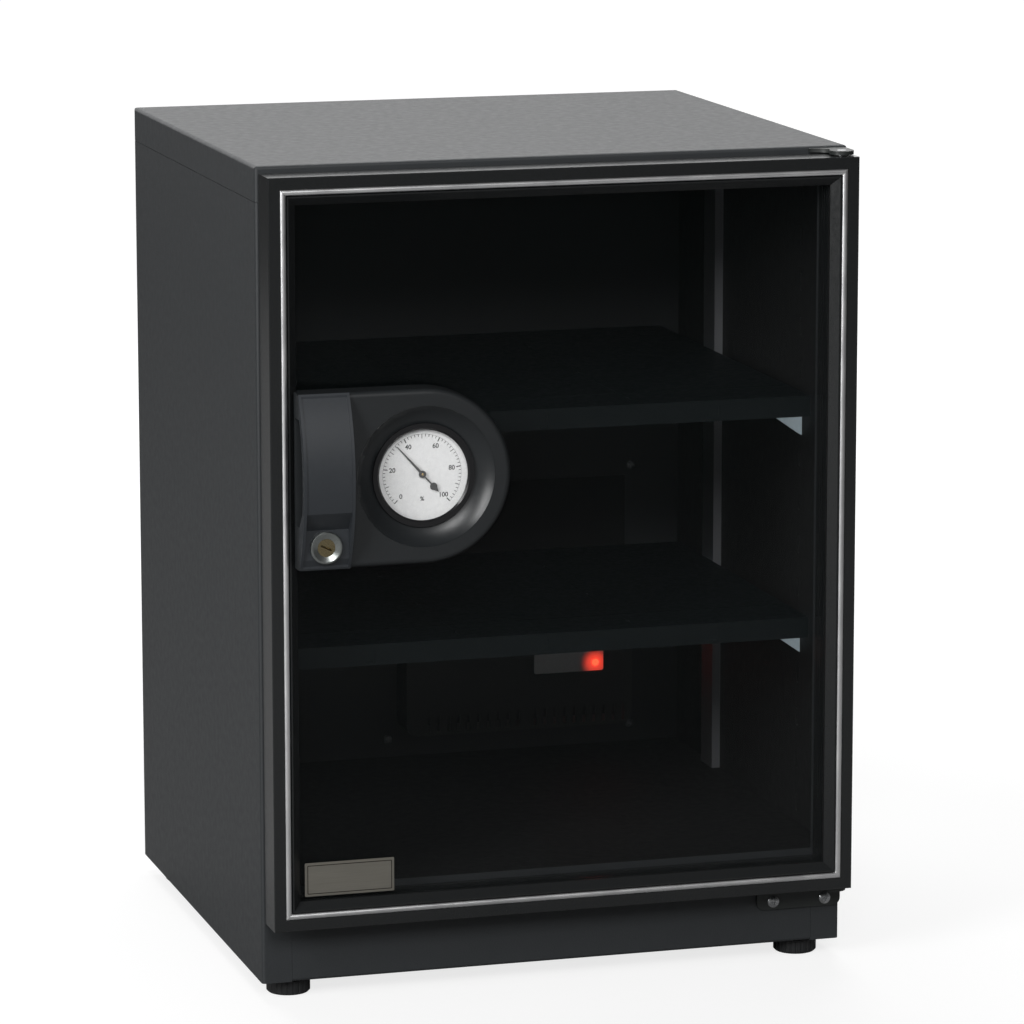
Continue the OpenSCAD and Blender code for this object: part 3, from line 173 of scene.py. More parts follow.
def prism(shape, outline, y0, y1):
    """A solid from an outline in X and Z, between two depths. The first face returned is its front."""
    front = [shape.verts.new((x, y0, z)) for x, z in outline]
    back = [shape.verts.new((x, y1, z)) for x, z in outline]
    faces = [shape.faces.new(front), shape.faces.new(back[::-1])]
    for i in range(len(front)):
        j = (i + 1) % len(front)
        faces.append(shape.faces.new((front[j], front[i], back[i], back[j])))
    return faces


def block(shape, low, high, soft):
    """A box between two corners, its edges softened."""
    size = Vector(high) - Vector(low)
    at = Matrix.Translation((Vector(low) + Vector(high)) / 2) @ Matrix.Diagonal((*size, 1))
    made = bmesh.ops.create_cube(shape, size=1.0, matrix=at)
    soften(shape, {e for v in made["verts"] for e in v.link_edges}, soft)


def round_outline(x0, z0, x1, z1, r, steps=6):
    """Points of a rectangle with round corners."""
    points = []
    corners = [(x1 - r, z1 - r, 0), (x0 + r, z1 - r, 90), (x0 + r, z0 + r, 180), (x1 - r, z0 + r, 270)]
    for x, z, start in corners:
        for i in range(steps + 1):
            a = math.radians(start + 90 * i / steps)
            points.append((x + r * math.cos(a), z + r * math.sin(a)))
    return points


def turn_cap(shape, profile, centre, steps=24):
    """Turns a profile of radius and depth, which starts at radius 0, about a line along Y."""
    rings = []
    for i in range(steps):
        a = math.tau * i / steps
        rings.append([
            shape.verts.new((centre.x + r * math.cos(a), centre.y + y, centre.z + r * math.sin(a)))
            for r, y in profile
        ])
    for i in range(steps):
        here, there = rings[i], rings[(i + 1) % steps]
        shape.faces.new([here[0], here[1], there[1]])
        for k in range(1, len(profile) - 1):
            shape.faces.new([here[k], here[k + 1], there[k + 1], there[k]])


# Finishes

class Skin:
    """A procedural material: a Principled shader with grain in its colour, roughness and relief."""

    noise_low, noise_high = 0.3, 0.7  # the range that most of a noise's values lie in

    def __init__(self, name):
        self.material = bpy.data.materials.new(name)
        self.material.use_nodes = True
        self.nodes = self.material.node_tree.nodes
        self.links = self.material.node_tree.links
        self.shader = self.nodes["Principled BSDF"]
        self.place = self.nodes.new("ShaderNodeTexCoord").outputs["Object"]

    def set(self, **values):
        """Sets the shader's own sockets, with an underscore for each space in their names."""
        for key, value in values.items():
            self.shader.inputs[key.replace("_", " ")].default_value = value
        return self

    def noise(self, width, detail=3.0, stretch=(1, 1, 1)):
        """Noise whose features are about as wide as the given size in metres."""
        scaled = self.nodes.new("ShaderNodeMapping")
        scaled.inputs["Scale"].default_value = stretch
        self.links.new(self.place, scaled.inputs["Vector"])
        grain = self.nodes.new("ShaderNodeTexNoise")
        grain.inputs["Scale"].default_value = 1.0 / width
        grain.inputs["Detail"].default_value = detail
        self.links.new(scaled.outputs["Vector"], grain.inputs["Vector"])
        return grain.outputs["Fac"]

    def spread(self, value, low, high):
        """Maps the middle of a noise to a range."""
        fit = self.nodes.new("ShaderNodeMapRange")
        fit.inputs["From Min"].default_value = self.noise_low
        fit.inputs["From Max"].default_value = self.noise_high
        fit.inputs["To Min"].default_value = low
        fit.inputs["To Max"].default_value = high
        self.links.new(value, fit.inputs["Value"])
        return fit.outputs["Result"]

    def tint(self, value, colour, change):
        """Colours the surface, darker and lighter by the given share as the value goes."""
        mix = self.nodes.new("ShaderNodeMix")
        mix.data_type = "RGBA"
        mix.inputs["A"].default_value = (*[c * (1 - change) for c in colour], 1)
        mix.inputs["B"].default_value = (*[min(c * (1 + change), 1) for c in colour], 1)
        self.links.new(self.spread(value, 0, 1), mix.inputs["Factor"])
        self.links.new(mix.outputs["Result"], self.shader.inputs["Base Color"])
        return self

    def rough(self, value, limits):
        self.links.new(self.spread(value, *limits), self.shader.inputs["Roughness"])
        return self

    def relief(self, value, depth):
        """Bumps the surface by the value, to the given depth in metres."""
        bump = self.nodes.new("ShaderNodeBump")
        bump.inputs["Distance"].default_value = depth
        self.links.new(value, bump.inputs["Height"])
        self.links.new(bump.outputs["Normal"], self.shader.inputs["Normal"])
        return self


def finishes():
    return bpy.context.scene.cabinet_finishes


def textured_paint(name, colour, grain, depth, rough, gloss=0.5):
    """Sprayed paint, whose grain stands up and whose gloss varies over patches of a few grains."""
    grains_in_patch = 6
    skin = Skin(name).set(Specular_IOR_Level=gloss)
    fine = skin.noise(grain, detail=2.0)
    skin.tint(fine, colour, change=0.12)
    skin.rough(skin.noise(grains_in_patch * grain), rough)
    return skin.relief(fine, depth)


def moulded(name, colour, grain, depth, rough):
    """Plastic from a sparked mould: fine even relief, a little clouding."""
    cloud, patch = 2 * MM, 3 * MM
    skin = Skin(name)
    skin.tint(skin.noise(cloud, detail=2.0), colour, change=0.04)
    skin.rough(skin.noise(patch), rough)
    return skin.relief(skin.noise(grain, detail=1.0), depth)


def drawn_metal(name, colour, rough, along=(1, 1, 1), depth=0.004 * MM):
    """Metal with fine lines, stretched along its length by a small scale on that axis."""
    line = 0.4 * MM
    skin = Skin(name).set(Metallic=1.0)
    lines = skin.noise(line, detail=2.0, stretch=along)
    skin.tint(lines, colour, change=0.05)
    skin.rough(lines, rough)
    return skin.relief(lines, depth)


def clear(name, colour, alpha):
    """A thin clear sheet, which lets most light through and keeps its gloss."""
    cloud = 60 * MM
    skin = Skin(name).set(Alpha=alpha, IOR=1.6)
    skin.tint(skin.noise(cloud, detail=2.0), colour, change=0.1)
    return skin.rough(skin.noise(cloud), (0.0, 0.02))


def case_paint():
    return textured_paint("case paint", finishes().case_colour, grain=finishes().grain_size,
                          depth=0.1 * MM, rough=(0.44, 0.52))


def liner_paint():
    return textured_paint("liner paint", finishes().liner_colour, grain=0.8 * MM,
                          depth=0.012 * MM, rough=(0.6, 0.7), gloss=0.25)


def frame_paint():
    return textured_paint("frame black", finishes().frame_colour, grain=0.5 * MM,
                          depth=0.002 * MM, rough=(0.18, 0.24))


def shelf_paint():
    return textured_paint("shelf paint", finishes().shelf_colour, grain=0.6 * MM,
                          depth=0.02 * MM, rough=(0.44, 0.54), gloss=0.2)


def bracket_paint():
    return textured_paint("bracket paint", colour=(0.02, 0.023, 0.022), grain=0.6 * MM,
                          depth=0.02 * MM, rough=(0.36, 0.46))


def backplate_paint():
    return textured_paint("backplate paint", colour=(0.02, 0.02, 0.021), grain=0.6 * MM,
                          depth=0.02 * MM, rough=(0.4, 0.5))


def trim_metal():
    return drawn_metal("trim", finishes().trim_colour, rough=(0.3, 0.36),
                       along=(0.02, 0.02, 0.02), depth=0.0004 * MM)


def handle_plastic():
    return moulded("handle plastic", finishes().handle_colour, grain=0.5 * MM,
                   depth=0.006 * MM, rough=(0.42, 0.5))


def dish_plastic():
    return moulded("dish plastic", finishes().handle_colour, grain=0.5 * MM,
                   depth=0.001 * MM, rough=(0.32, 0.36))


def grip_plastic():
    return moulded("grip plastic", finishes().grip_colour, grain=0.5 * MM,
                   depth=0.006 * MM, rough=(0.42, 0.5))


def dress(skin, *nodes):
    """Gives CAD nodes a finish."""
    for node in nodes:
        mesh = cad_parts[node].data
        mesh.materials.clear()
        mesh.materials.append(skin.material)


# Operators

class CABINET_OT_case(bpy.types.Operator):
    """Paint the sheet-metal case outside"""
    bl_idname = "cabinet.case"
    bl_label = "Case"
    bl_options = {"REGISTER", "UNDO"}

    def execute(self, context):
        dress(case_paint(), "top_panel", "side_panel_left", "side_panel_right", "back_panel",
              "base_panel", "plinth_front")
        return {"FINISHED"}


class CABINET_OT_liner(bpy.types.Operator):
    """Paint the inside of the cabinet, and finish the slotted walls' channels"""
    bl_idname = "cabinet.liner"
    bl_label = "Liner"
    bl_options = {"REGISTER", "UNDO"}

    def execute(self, context):
        dress(liner_paint(), "floor_panel", "ceiling_panel", "inner_wall_left", "inner_wall_right",
              "unit_top_plate")
        dress(drawn_metal("channel", colour=(0.4, 0.41, 0.43), rough=(0.45, 0.55), along=(1, 1, 0.02)),
              "side_channels")
        return {"FINISHED"}


class CABINET_OT_door(bpy.types.Operator):
    """Finish the door's frame, trim, glass and seals"""
    bl_idname = "cabinet.door"
    bl_label = "Door"
    bl_options = {"REGISTER", "UNDO"}

    def execute(self, context):
        dress(frame_paint(), "door_frame_top", "door_frame_bottom", "door_frame_left", "door_frame_right")
        dress(trim_metal(), "door_trim")
        dress(clear("door glass", colour=(0.004, 0.006, 0.006), alpha=finishes().glass_density),
              "door_glass")
        dress(moulded("seal rubber", colour=(0.012, 0.012, 0.012), grain=0.4 * MM, depth=0.01 * MM,
                      rough=(0.6, 0.7)),
              "glazing_gasket", "door_gasket")
        return {"FINISHED"}


class CABINET_OT_hinges(bpy.types.Operator):
    """Finish the hinges' brackets and bushes"""
    bl_idname = "cabinet.hinges"
    bl_label = "Hinges"
    bl_options = {"REGISTER", "UNDO"}

    def execute(self, context):
        dress(bracket_paint(), "top_hinge_bracket", "bottom_hinge_bracket")
        dress(moulded("bush plastic", colour=(0.6, 0.6, 0.56), grain=0.4 * MM, depth=0.005 * MM,
                      rough=(0.4, 0.5)),
              "hinge_bushes")
        return {"FINISHED"}


class CABINET_OT_fixings(bpy.types.Operator):
    """Finish the plated pins and screws, and the zinc keys, nuts and plates behind them"""
    bl_idname = "cabinet.fixings"
    bl_label = "Fixings"
    bl_options = {"REGISTER", "UNDO"}

    def execute(self, context):
        dress(drawn_metal("plated steel", colour=(0.5, 0.51, 0.52), rough=(0.22, 0.32)),
              "hinge_pins", "hinge_screws", "panel_screws", "handle_screws")
        dress(drawn_metal("zinc", colour=(0.55, 0.56, 0.58), rough=(0.35, 0.45)),
              "corner_keys", "strike_plate", "lock_nut", "lock_cam", "foot_nuts", "heater_plate")
        return {"FINISHED"}


class CABINET_OT_handle(bpy.types.Operator):
    """Finish the handle's plate and backplate, its bowed grip and the dished ring"""
    bl_idname = "cabinet.handle"
    bl_label = "Handle"
    bl_options = {"REGISTER", "UNDO"}

    def execute(self, context):
        dress(handle_plastic(), "handle_base")
        dress(dish_plastic(), "dial_surround")
        dress(grip_plastic(), "handle_grip")
        dress(backplate_paint(), "handle_backplate")
        return {"FINISHED"}


class CABINET_OT_hygrometer(bpy.types.Operator):
    """Finish the hygrometer and print the scale on its dial"""
    bl_idname = "cabinet.hygrometer"
    bl_label = "Hygrometer"
    bl_options = {"REGISTER", "UNDO"}

    # The scale's readings
    number_step = 20
    long_step = 10
    tick_step = 2
    top_number = 100

    # Its printed lines
    print_lift = 0.06 * MM
    stroke = 0.09 * MM
    line_width = 0.4 * MM
    main_line_ratio = 1.7
    ring_width = 0.12 * MM
    ring_steps = 120

    # Its numbers, as shares of the line that they stand in, and the percent sign's drop from the middle
    digit_share = 0.8
    percent_share = 0.75
    number_gap_share = 0.85
    percent_drop_share = 0.62
    capital_share = 0.7  # a digit's height in the font's own size

    # The needle's cap, as radius and depth from the front of the needle
    cap_profile = ((0, -0.35 * MM), (0.5 * MM, -0.3 * MM), (0.85 * MM, -0.1 * MM), (0.95 * MM, 0.1 * MM))

    def angle(self, value, dial):
        """Angle of a reading, clockwise from straight up."""
        return dial.sweep * (value / self.top_number - 0.5)

    def ray(self, turn):
        return Vector((math.sin(turn), 0, math.cos(turn)))

    def add_tick(self, shape, centre, turn, r0, r1, width):
        """A flat bar along a ray from the centre, between two radii."""
        across = Vector((math.cos(turn), 0, -math.sin(turn))) * width / 2
        low, high = self.ray(turn) * r0, self.ray(turn) * r1
        corners = (low - across, low + across, high + across, high - across)
        shape.faces.new([shape.verts.new(centre + p) for p in corners])

    def add_scale(self, dial, centre, ink):
        outer, inner = dial.scale_radius, dial.scale_radius - self.ring_width

        def build(shape):
            for value in range(0, self.top_number + 1, self.tick_step):
                length = dial.short_tick if value % self.long_step else dial.long_tick
                width = self.line_width * (1 if value % self.number_step else self.main_line_ratio)
                self.add_tick(shape, centre, self.angle(value, dial), outer - length, outer, width)
            rays = [self.ray(self.angle(self.top_number * i / self.ring_steps, dial))
                    for i in range(self.ring_steps + 1)]
            for a, b in zip(rays, rays[1:]):
                corners = (a * outer, b * outer, b * inner, a * inner)
                shape.faces.new([shape.verts.new(centre + p) for p in corners])
        add_piece("dial_scale", build, "door", ink)

    def add_word(self, name, word, at, height, ink):
        curve = bpy.data.curves.new(name, "FONT")
        curve.body = word
        curve.size = height / self.capital_share
        curve.offset = self.stroke
        curve.align_x = "CENTER"
        curve.align_y = "CENTER"
        text = bpy.data.objects.new(name, curve)
        scene = bpy.context.scene
        scene.collection.objects.link(text)
        bpy.context.view_layer.update()
        mesh = bpy.data.meshes.new_from_object(text)
        bpy.data.objects.remove(text)
        mesh.transform(Matrix.Translation(at) @ Matrix.Rotation(math.radians(90), 4, "X"))
        piece = bpy.data.objects.new(name, mesh)
        scene.collection.objects.link(piece)
        mesh.materials.clear()
        mesh.materials.append(ink.material)
        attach(piece, "door")

    def print_dial(self, dial, centre):
        ink = moulded("printing ink", colour=(0.012, 0.012, 0.014), grain=0.3 * MM, depth=0.001 * MM,
                      rough=(0.5, 0.6))
        self.add_scale(dial, centre, ink)
        number_r = dial.scale_radius - dial.long_tick - dial.number_height * self.number_gap_share
        digit_height = dial.number_height * self.digit_share
        for value in range(0, self.top_number + 1, self.number_step):
            at = centre + self.ray(self.angle(value, dial)) * number_r
            self.add_word(f"dial_number_{value}", str(value), at, digit_height, ink)
        below = centre - Vector((0, 0, dial.scale_radius * self.percent_drop_share))
        self.add_word("dial_percent", "%", below, dial.number_height * self.percent_share, ink)

    def execute(self, context):
        centre = middle("dial_face")
        centre.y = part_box("dial_face")[0].y - self.print_lift
        self.print_dial(context.scene.cabinet_dial, centre)
        dress(moulded("dial white", colour=(0.9, 0.9, 0.9), grain=2 * MM, depth=0.001 * MM,
                      rough=(0.4, 0.5)),
              "dial_face")
        dress(moulded("gauge black", colour=(0.01, 0.01, 0.011), grain=0.6 * MM, depth=0.002 * MM,
                      rough=(0.16, 0.24)),
              "hygrometer_case")
        dress(clear("dial lens", colour=(0.8, 0.82, 0.82), alpha=0.06), "dial_lens")
        dress(moulded("needle paint", colour=(0.008, 0.008, 0.008), grain=0.5 * MM, depth=0.001 * MM,
                      rough=(0.4, 0.5)),
              "needle")
        brass = drawn_metal("brass", colour=(0.62, 0.42, 0.16), rough=(0.25, 0.35))
        dress(brass, "hygrometer_coil")
        centre.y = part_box("needle")[0].y
        add_piece("needle_cap", lambda shape: turn_cap(shape, self.cap_profile, centre),
                  "needle", brass)
        return {"FINISHED"}


class CABINET_OT_lock(bpy.types.Operator):
    """Finish the cam lock"""
    bl_idname = "cabinet.lock"
    bl_label = "Lock"
    bl_options = {"REGISTER", "UNDO"}

    def execute(self, context):
        dress(drawn_metal("lock chrome", colour=(0.34, 0.36, 0.35), rough=(0.26, 0.34)), "lock_body")
        dress(drawn_metal("plug metal", colour=(0.34, 0.28, 0.16), rough=(0.24, 0.32)), "lock_plug")
        return {"FINISHED"}


class CABINET_OT_name_plate(bpy.types.Operator):
    """Finish the bare plate on the glass, with a fine border"""
    bl_idname = "cabinet.name_plate"
    bl_label = "Name plate"
    bl_options = {"REGISTER", "UNDO"}

    brushed = (0.02, 1, 1)
    inset = 1.6 * MM
    border_width = 0.5 * MM
    border_lift = 0.12 * MM
    outer_round = 0.6 * MM
    inner_round = 0.3 * MM

    def build_border(self, shape):
        low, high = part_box("name_plate")
        top = low.y - self.border_lift
        a, b = self.inset, self.inset + self.border_width
        outer = round_outline(low.x + a, low.z + a, high.x - a, high.z - a, self.outer_round)
        inner = round_outline(low.x + b, low.z + b, high.x - b, high.z - b, self.inner_round)
        rings = [[shape.verts.new((x, y, z)) for x, z in points]
                 for points, y in ((outer, low.y), (outer, top), (inner, top), (inner, low.y))]
        for ring, following in zip(rings, rings[1:]):
            for i in range(len(ring)):
                j = (i + 1) % len(ring)
                shape.faces.new((ring[i], ring[j], following[j], following[i]))

    def execute(self, context):
        dress(drawn_metal("plate metal", colour=(0.42, 0.4, 0.35), rough=(0.3, 0.4), along=self.brushed),
              "name_plate")
        dark = drawn_metal("plate border", colour=(0.06, 0.055, 0.045), rough=(0.35, 0.45),
                           along=self.brushed)
        add_piece("name_plate_border", self.build_border, "door", dark)
        return {"FINISHED"}


class CABINET_OT_shelves(bpy.types.Operator):
    """Finish the shelves, with their welded tabs and rivets"""
    bl_idname = "cabinet.shelves"
    bl_label = "Shelves"
    bl_options = {"REGISTER", "UNDO"}

    # The tabs on a shelf's front lip
    tab_thick = 0.5 * MM
    tab_width = 1.6 * MM
    tab_foot = 4.5 * MM
    tab_up = 1.2 * MM
    tab_soft = 0.2 * MM
    tab_shares = (0.16, 0.49, 0.82)

    # The rivets in two rows from front to back
    rivet_lift = 0.35 * MM
    rivet_sink = 0.8 * MM
    rivet_steps = 20
    rivet_row_share = 1 / 3
    rivet_shares = (0.08, 0.42, 0.78)
    shoulder_shares = (0.6, 0.8)  # of the radius and of the lift

    def add_tabs(self, node, skin, height):
        low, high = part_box(node)
        front = low.y - self.tab_thick

        def build(shape):
            for share in self.tab_shares:
                x = low.x + share * (high.x - low.x)
                z = low.z + self.tab_up
                block(shape, (x, front, z), (x + self.tab_width, low.y, z + height), self.tab_soft)
                block(shape, (x - self.tab_foot, front, z), (x, low.y, z + self.tab_width), self.tab_soft)
        add_piece(f"{node}_tabs", build, node, skin)

    def build_rivet(self, shape, at, radius):
        """A shallow dome with a straight side, which ends below the shelf's top."""
        radius_share, lift_share = self.shoulder_shares
        shoulder = (radius * radius_share, self.rivet_lift * lift_share)
        profile = [shoulder, (radius, 0), (radius, -self.rivet_sink)]
        turns = [math.tau * i / self.rivet_steps for i in range(self.rivet_steps)]
        rings = [[shape.verts.new(at + Vector((r * math.cos(a), r * math.sin(a), h))) for a in turns]
                 for r, h in profile]
        tip = shape.verts.new(at + Vector((0, 0, self.rivet_lift)))
        base = shape.verts.new(at + Vector((0, 0, -self.rivet_sink)))
        for i in range(self.rivet_steps):
            j = (i + 1) % self.rivet_steps
            shape.faces.new((tip, rings[0][i], rings[0][j]))
            shape.faces.new((base, rings[-1][j], rings[-1][i]))
            for a, b in zip(rings, rings[1:]):
                shape.faces.new((a[i], b[i], b[j], a[j]))

    def add_rivets(self, node, skin, radius):
        low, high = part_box(node)

        def build(shape):
            for side in (-1, 1):
                for share in self.rivet_shares:
                    x = side * high.x * self.rivet_row_share
                    y = low.y + share * (high.y - low.y)
                    self.build_rivet(shape, Vector((x, y, high.z)), radius)
        add_piece(f"{node}_rivets", build, node, skin)

    def execute(self, context):
        details = context.scene.cabinet_details
        paint = shelf_paint()
        rivet = drawn_metal("rivet", colour=(0.75, 0.77, 0.78), rough=(0.2, 0.3))
        for node in ("upper_shelf", "lower_shelf"):
            dress(paint, node)
            self.add_tabs(node, paint, details.tab_height)
            self.add_rivets(node, rivet, details.rivet_radius)
        return {"FINISHED"}


class CABINET_OT_clips(bpy.types.Operator):
    """Finish the moulded shelf clips"""
    bl_idname = "cabinet.clips"
    bl_label = "Shelf clips"
    bl_options = {"REGISTER", "UNDO"}

    milky = (0.62, 0.74, 0.8)
    scatter = 0.22  # painted light: strength of a glow that makes the clips look brightly lit

    def execute(self, context):
        skin = moulded("clip plastic", self.milky, grain=0.8 * MM, depth=0.01 * MM, rough=(0.25, 0.35))
        # Painted light: the clips glow a little in their own milky colour, though they are no lamp.
        skin.set(Emission_Color=(*self.milky, 1), Emission_Strength=self.scatter)
        dress(skin, "shelf_clips")
        return {"FINISHED"}


class CABINET_OT_drying_unit(bpy.types.Operator):
    """Finish the drying unit, with its blank label and lit lamp"""
    bl_idname = "cabinet.drying_unit"
    bl_label = "Drying unit"
    bl_options = {"REGISTER", "UNDO"}

    # The label, whose right and lower edges are placed from the lamp's middle
    label_thick = 0.5 * MM
    label_soft = 0.15 * MM
    label_round = 1.5 * MM
    label_right = 6 * MM
    label_below = 6 * MM

    # The lamp's own light, and the light that the label catches round it
    lamp_glow = 4.0
    label_glow = 1.2
    glow_reach = 13 * MM

    def label_skin(self, lamp):
        """White plastic that the lamp lights red around itself."""
        skin = moulded("label plastic", colour=(0.92, 0.92, 0.91), grain=1 * MM, depth=0.002 * MM,
                       rough=(0.4, 0.5))
        away = skin.nodes.new("ShaderNodeVectorMath")
        away.operation = "DISTANCE"
        away.inputs[1].default_value = lamp
        skin.links.new(skin.place, away.inputs[0])
        fade = skin.nodes.new("ShaderNodeMapRange")
        fade.interpolation_type = "SMOOTHERSTEP"
        fade.inputs["From Max"].default_value = self.glow_reach
        fade.inputs["To Min"].default_value = self.label_glow
        fade.inputs["To Max"].default_value = 0.0
        skin.links.new(away.outputs["Value"], fade.inputs["Value"])
        skin.links.new(fade.outputs["Result"], skin.shader.inputs["Emission Strength"])
        return skin.set(Emission_Color=(*finishes().lamp_colour, 1))

    def lamp_skin(self):
        skin = moulded("lamp plastic", colour=(0.7, 0.05, 0.03), grain=1 * MM, depth=0.002 * MM,
                       rough=(0.15, 0.25))
        return skin.set(Emission_Color=(*finishes().lamp_colour, 1), Emission_Strength=self.lamp_glow)

    def add_label(self, details):
        at = middle("status_led")
        at.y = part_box("unit_cover")[0].y
        x1 = at.x + self.label_right
        z0 = at.z - self.label_below
        x0, z1 = x1 - details.label_width, z0 + details.label_height

        def build(shape):
            outline = round_outline(x0, z0, x1, z1, self.label_round)
            faces = prism(shape, outline, at.y - self.label_thick, at.y)
            soften(shape, faces[0].edges, self.label_soft)
        add_piece("unit_label", build, "cabinet", self.label_skin(at))

    def execute(self, context):
        dress(moulded("unit plastic", colour=(0.045, 0.045, 0.046), grain=0.6 * MM, depth=0.02 * MM,
                      rough=(0.5, 0.6)),
              "unit_cover", "damper_frame", "rear_cover", "cord_gland")
        dress(moulded("tray plastic", colour=(0.6, 0.6, 0.57), grain=1 * MM, depth=0.01 * MM,
                      rough=(0.5, 0.6)),
              "desiccant_box")
        dress(moulded("flap plastic", colour=(0.25, 0.25, 0.25), grain=1 * MM, depth=0.01 * MM,
                      rough=(0.5, 0.6)),
              "damper_flap")
        dress(moulded("circuit board", colour=(0.02, 0.14, 0.06), grain=1 * MM, depth=0.01 * MM,
                      rough=(0.3, 0.4)),
              "control_board")
        dress(self.lamp_skin(), "status_led")
        self.add_label(context.scene.cabinet_details)
        return {"FINISHED"}


class CABINET_OT_feet(bpy.types.Operator):
    """Finish the levelling feet"""
    bl_idname = "cabinet.feet"
    bl_label = "Feet"
    bl_options = {"REGISTER", "UNDO"}

    def execute(self, context):
        dress(moulded("foot plastic", colour=(0.016, 0.017, 0.018), grain=0.6 * MM, depth=0.02 * MM,
                      rough=(0.35, 0.5)),
              "foot_front_left", "foot_front_right", "foot_rear_left", "foot_rear_right")
        return {"FINISHED"}


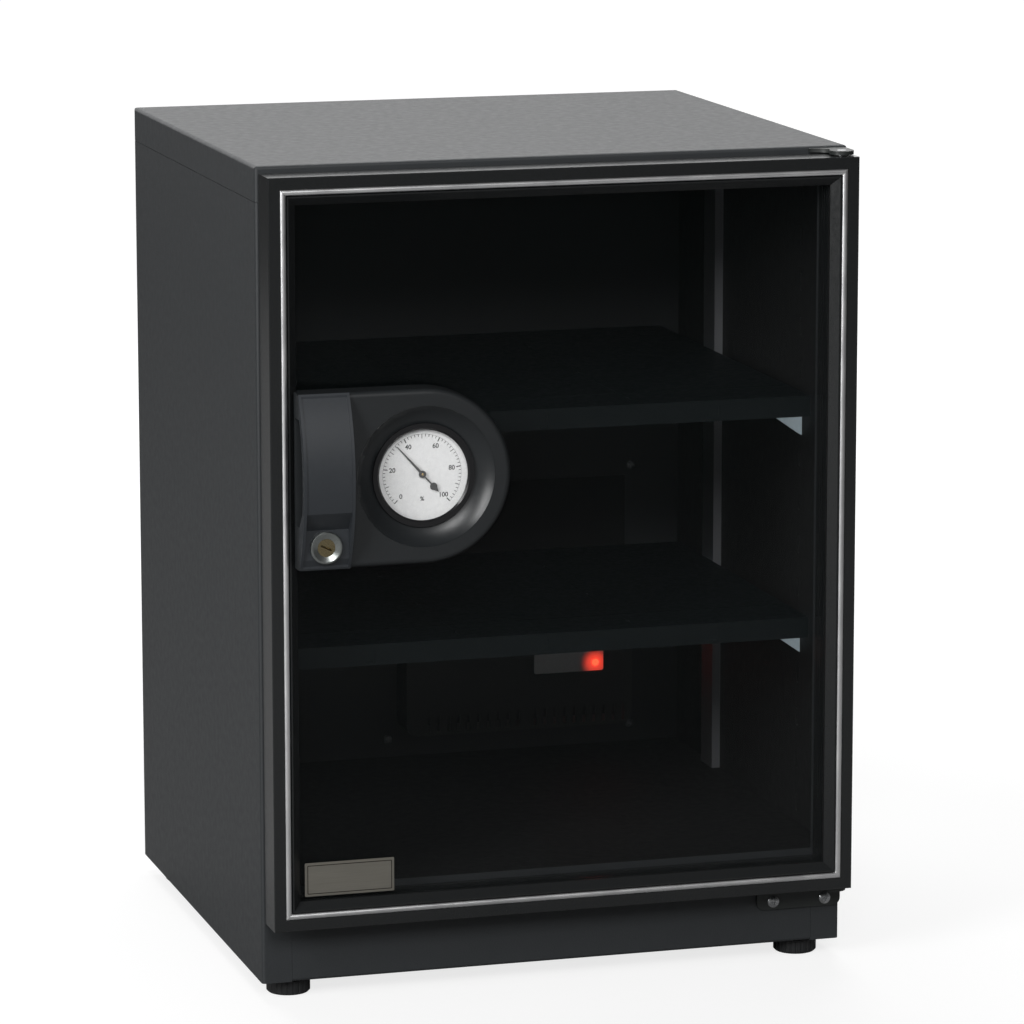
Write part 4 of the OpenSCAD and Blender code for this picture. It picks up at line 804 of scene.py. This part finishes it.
class CABINET_OT_stage(bpy.types.Operator):
    """Set up the pale floor, the soft lights and the camera"""
    bl_idname = "cabinet.stage"
    bl_label = "Stage"
    bl_options = {"REGISTER", "UNDO"}

    # The camera, in metres and angles
    camera_at = Vector((-0.9747, -3.3546, 0.9506))
    yaw = math.radians(16.461)
    pitch = math.radians(10.746)
    roll = math.radians(0.044)
    sensor = 36.0  # millimetres
    near, far = 0.1, 60.0

    # The floor, which glows white to the camera away from the cabinet's shadow
    floor_reach = 14.0
    floor_colour = (0.26, 0.26, 0.26, 1)
    floor_rough = 0.9
    floor_lift = 0.78
    shadow_reach = (0.5, 1.6)

    white = (1, 1, 1, 1)
    lights_aim = Vector((0, 0, 0.28))

    def camera_level(self, nodes, links, shown, hidden):
        """A level that the camera sees as one value and all other light as another."""
        path = nodes.new("ShaderNodeLightPath")
        level = nodes.new("ShaderNodeMix")
        level.data_type = "FLOAT"
        level.inputs["A"].default_value = hidden
        links.new(path.outputs["Is Camera Ray"], level.inputs["Factor"])
        if isinstance(shown, float):
            level.inputs["B"].default_value = shown
        else:
            links.new(shown, level.inputs["B"])
        return level.outputs["Result"]

    def add_world(self, scene):
        world = bpy.data.worlds.new("world")
        world.use_nodes = True
        scene.world = world
        nodes, links = world.node_tree.nodes, world.node_tree.links
        back = nodes["Background"]
        back.inputs["Color"].default_value = self.white
        level = self.camera_level(nodes, links, 1.0, scene.cabinet_stage.world_level)
        links.new(level, back.inputs["Strength"])

    def add_floor(self, scene):
        mesh = bpy.data.meshes.new("floor")
        r = self.floor_reach
        mesh.from_pydata([(-r, -r, 0), (r, -r, 0), (r, r, 0), (-r, r, 0)], [], [(0, 1, 2, 3)])
        floor = bpy.data.objects.new("floor", mesh)
        scene.collection.objects.link(floor)
        skin = Skin("floor").set(Base_Color=self.floor_colour, Roughness=self.floor_rough,
                                 Specular_IOR_Level=0.0, Emission_Color=self.white)
        away = skin.nodes.new("ShaderNodeVectorMath")
        away.operation = "LENGTH"
        skin.links.new(skin.place, away.inputs[0])
        fade = skin.nodes.new("ShaderNodeMapRange")
        fade.inputs["From Min"].default_value = self.shadow_reach[0]
        fade.inputs["From Max"].default_value = self.shadow_reach[1]
        fade.inputs["To Min"].default_value = self.floor_lift
        skin.links.new(away.outputs["Value"], fade.inputs["Value"])
        glow = self.camera_level(skin.nodes, skin.links, fade.outputs["Result"], 0.0)
        skin.links.new(glow, skin.shader.inputs["Emission Strength"])
        mesh.materials.append(skin.material)

    def add_light(self, name, at, size, power):
        """A soft light at a place in metres, which the camera doesn't see."""
        light = bpy.data.lights.new(name, "AREA")
        light.shape = "RECTANGLE"
        light.size, light.size_y = size
        light.energy = power
        lamp = bpy.data.objects.new(name, light)
        lamp.location = at
        lamp.rotation_mode = "QUATERNION"
        lamp.rotation_quaternion = (self.lights_aim - Vector(at)).to_track_quat("-Z", "Y")
        lamp.visible_camera = False
        bpy.context.scene.collection.objects.link(lamp)

    def add_camera(self, scene):
        data = bpy.data.cameras.new("camera")
        data.lens = scene.cabinet_stage.lens
        data.sensor_width = self.sensor
        data.clip_start, data.clip_end = self.near, self.far
        camera = bpy.data.objects.new("camera", data)
        camera.location = self.camera_at
        camera.rotation_euler = (math.radians(90) - self.pitch, self.roll, -self.yaw)
        scene.collection.objects.link(camera)
        scene.camera = camera

    def execute(self, context):
        scene = context.scene
        stage = scene.cabinet_stage
        scene.view_settings.view_transform = "Standard"
        self.add_world(scene)
        self.add_floor(scene)
        self.add_light("left light", at=(-2.3, -1.6, 1.4), size=(1.0, 1.8), power=stage.key_power)
        self.add_light("top light", at=(0.1, 0.75, 2.3), size=(1.6, 1.0), power=stage.top_power)
        self.add_light("front light", at=(-0.7, -3.3, 2.0), size=(1.2, 1.0), power=stage.fill_power)
        self.add_light("back light", at=(0.0, 2.6, 1.4), size=(4.0, 1.9), power=stage.back_power)
        self.add_camera(scene)
        return {"FINISHED"}


OPERATORS = (
    CABINET_OT_stage, CABINET_OT_case, CABINET_OT_liner, CABINET_OT_door, CABINET_OT_hinges,
    CABINET_OT_fixings, CABINET_OT_handle, CABINET_OT_hygrometer, CABINET_OT_lock, CABINET_OT_name_plate,
    CABINET_OT_shelves, CABINET_OT_clips, CABINET_OT_drying_unit, CABINET_OT_feet,
)
GROUPS = {
    "cabinet_finishes": CabinetFinishes, "cabinet_dial": CabinetDial,
    "cabinet_details": CabinetDetails, "cabinet_stage": CabinetStage,
}


class VIEW3D_PT_cabinet(bpy.types.Panel):
    bl_label = "Camera dry cabinet"
    bl_space_type = "VIEW_3D"
    bl_region_type = "UI"
    bl_category = "Cabinet"

    def draw(self, context):
        for operator in OPERATORS:
            self.layout.operator(operator.bl_idname)
        for name in GROUPS:
            group = getattr(context.scene, name)
            for key in group.bl_rna.properties.keys():
                if key not in ("rna_type", "name"):
                    self.layout.prop(group, key)


def register():
    for cls in (*GROUPS.values(), *OPERATORS, VIEW3D_PT_cabinet):
        bpy.utils.register_class(cls)
    for name, cls in GROUPS.items():
        setattr(bpy.types.Scene, name, bpy.props.PointerProperty(type=cls))


def unregister():
    for name in GROUPS:
        delattr(bpy.types.Scene, name)
    for cls in reversed((*GROUPS.values(), *OPERATORS, VIEW3D_PT_cabinet)):
        bpy.utils.unregister_class(cls)


def main():
    register()
    for operator in OPERATORS:
        group, name = operator.bl_idname.split(".")
        result = getattr(getattr(bpy.ops, group), name)()
        if result != {"FINISHED"}:
            raise RuntimeError(f"{operator.bl_idname} did not finish")


if __name__ == "__main__":
    main()
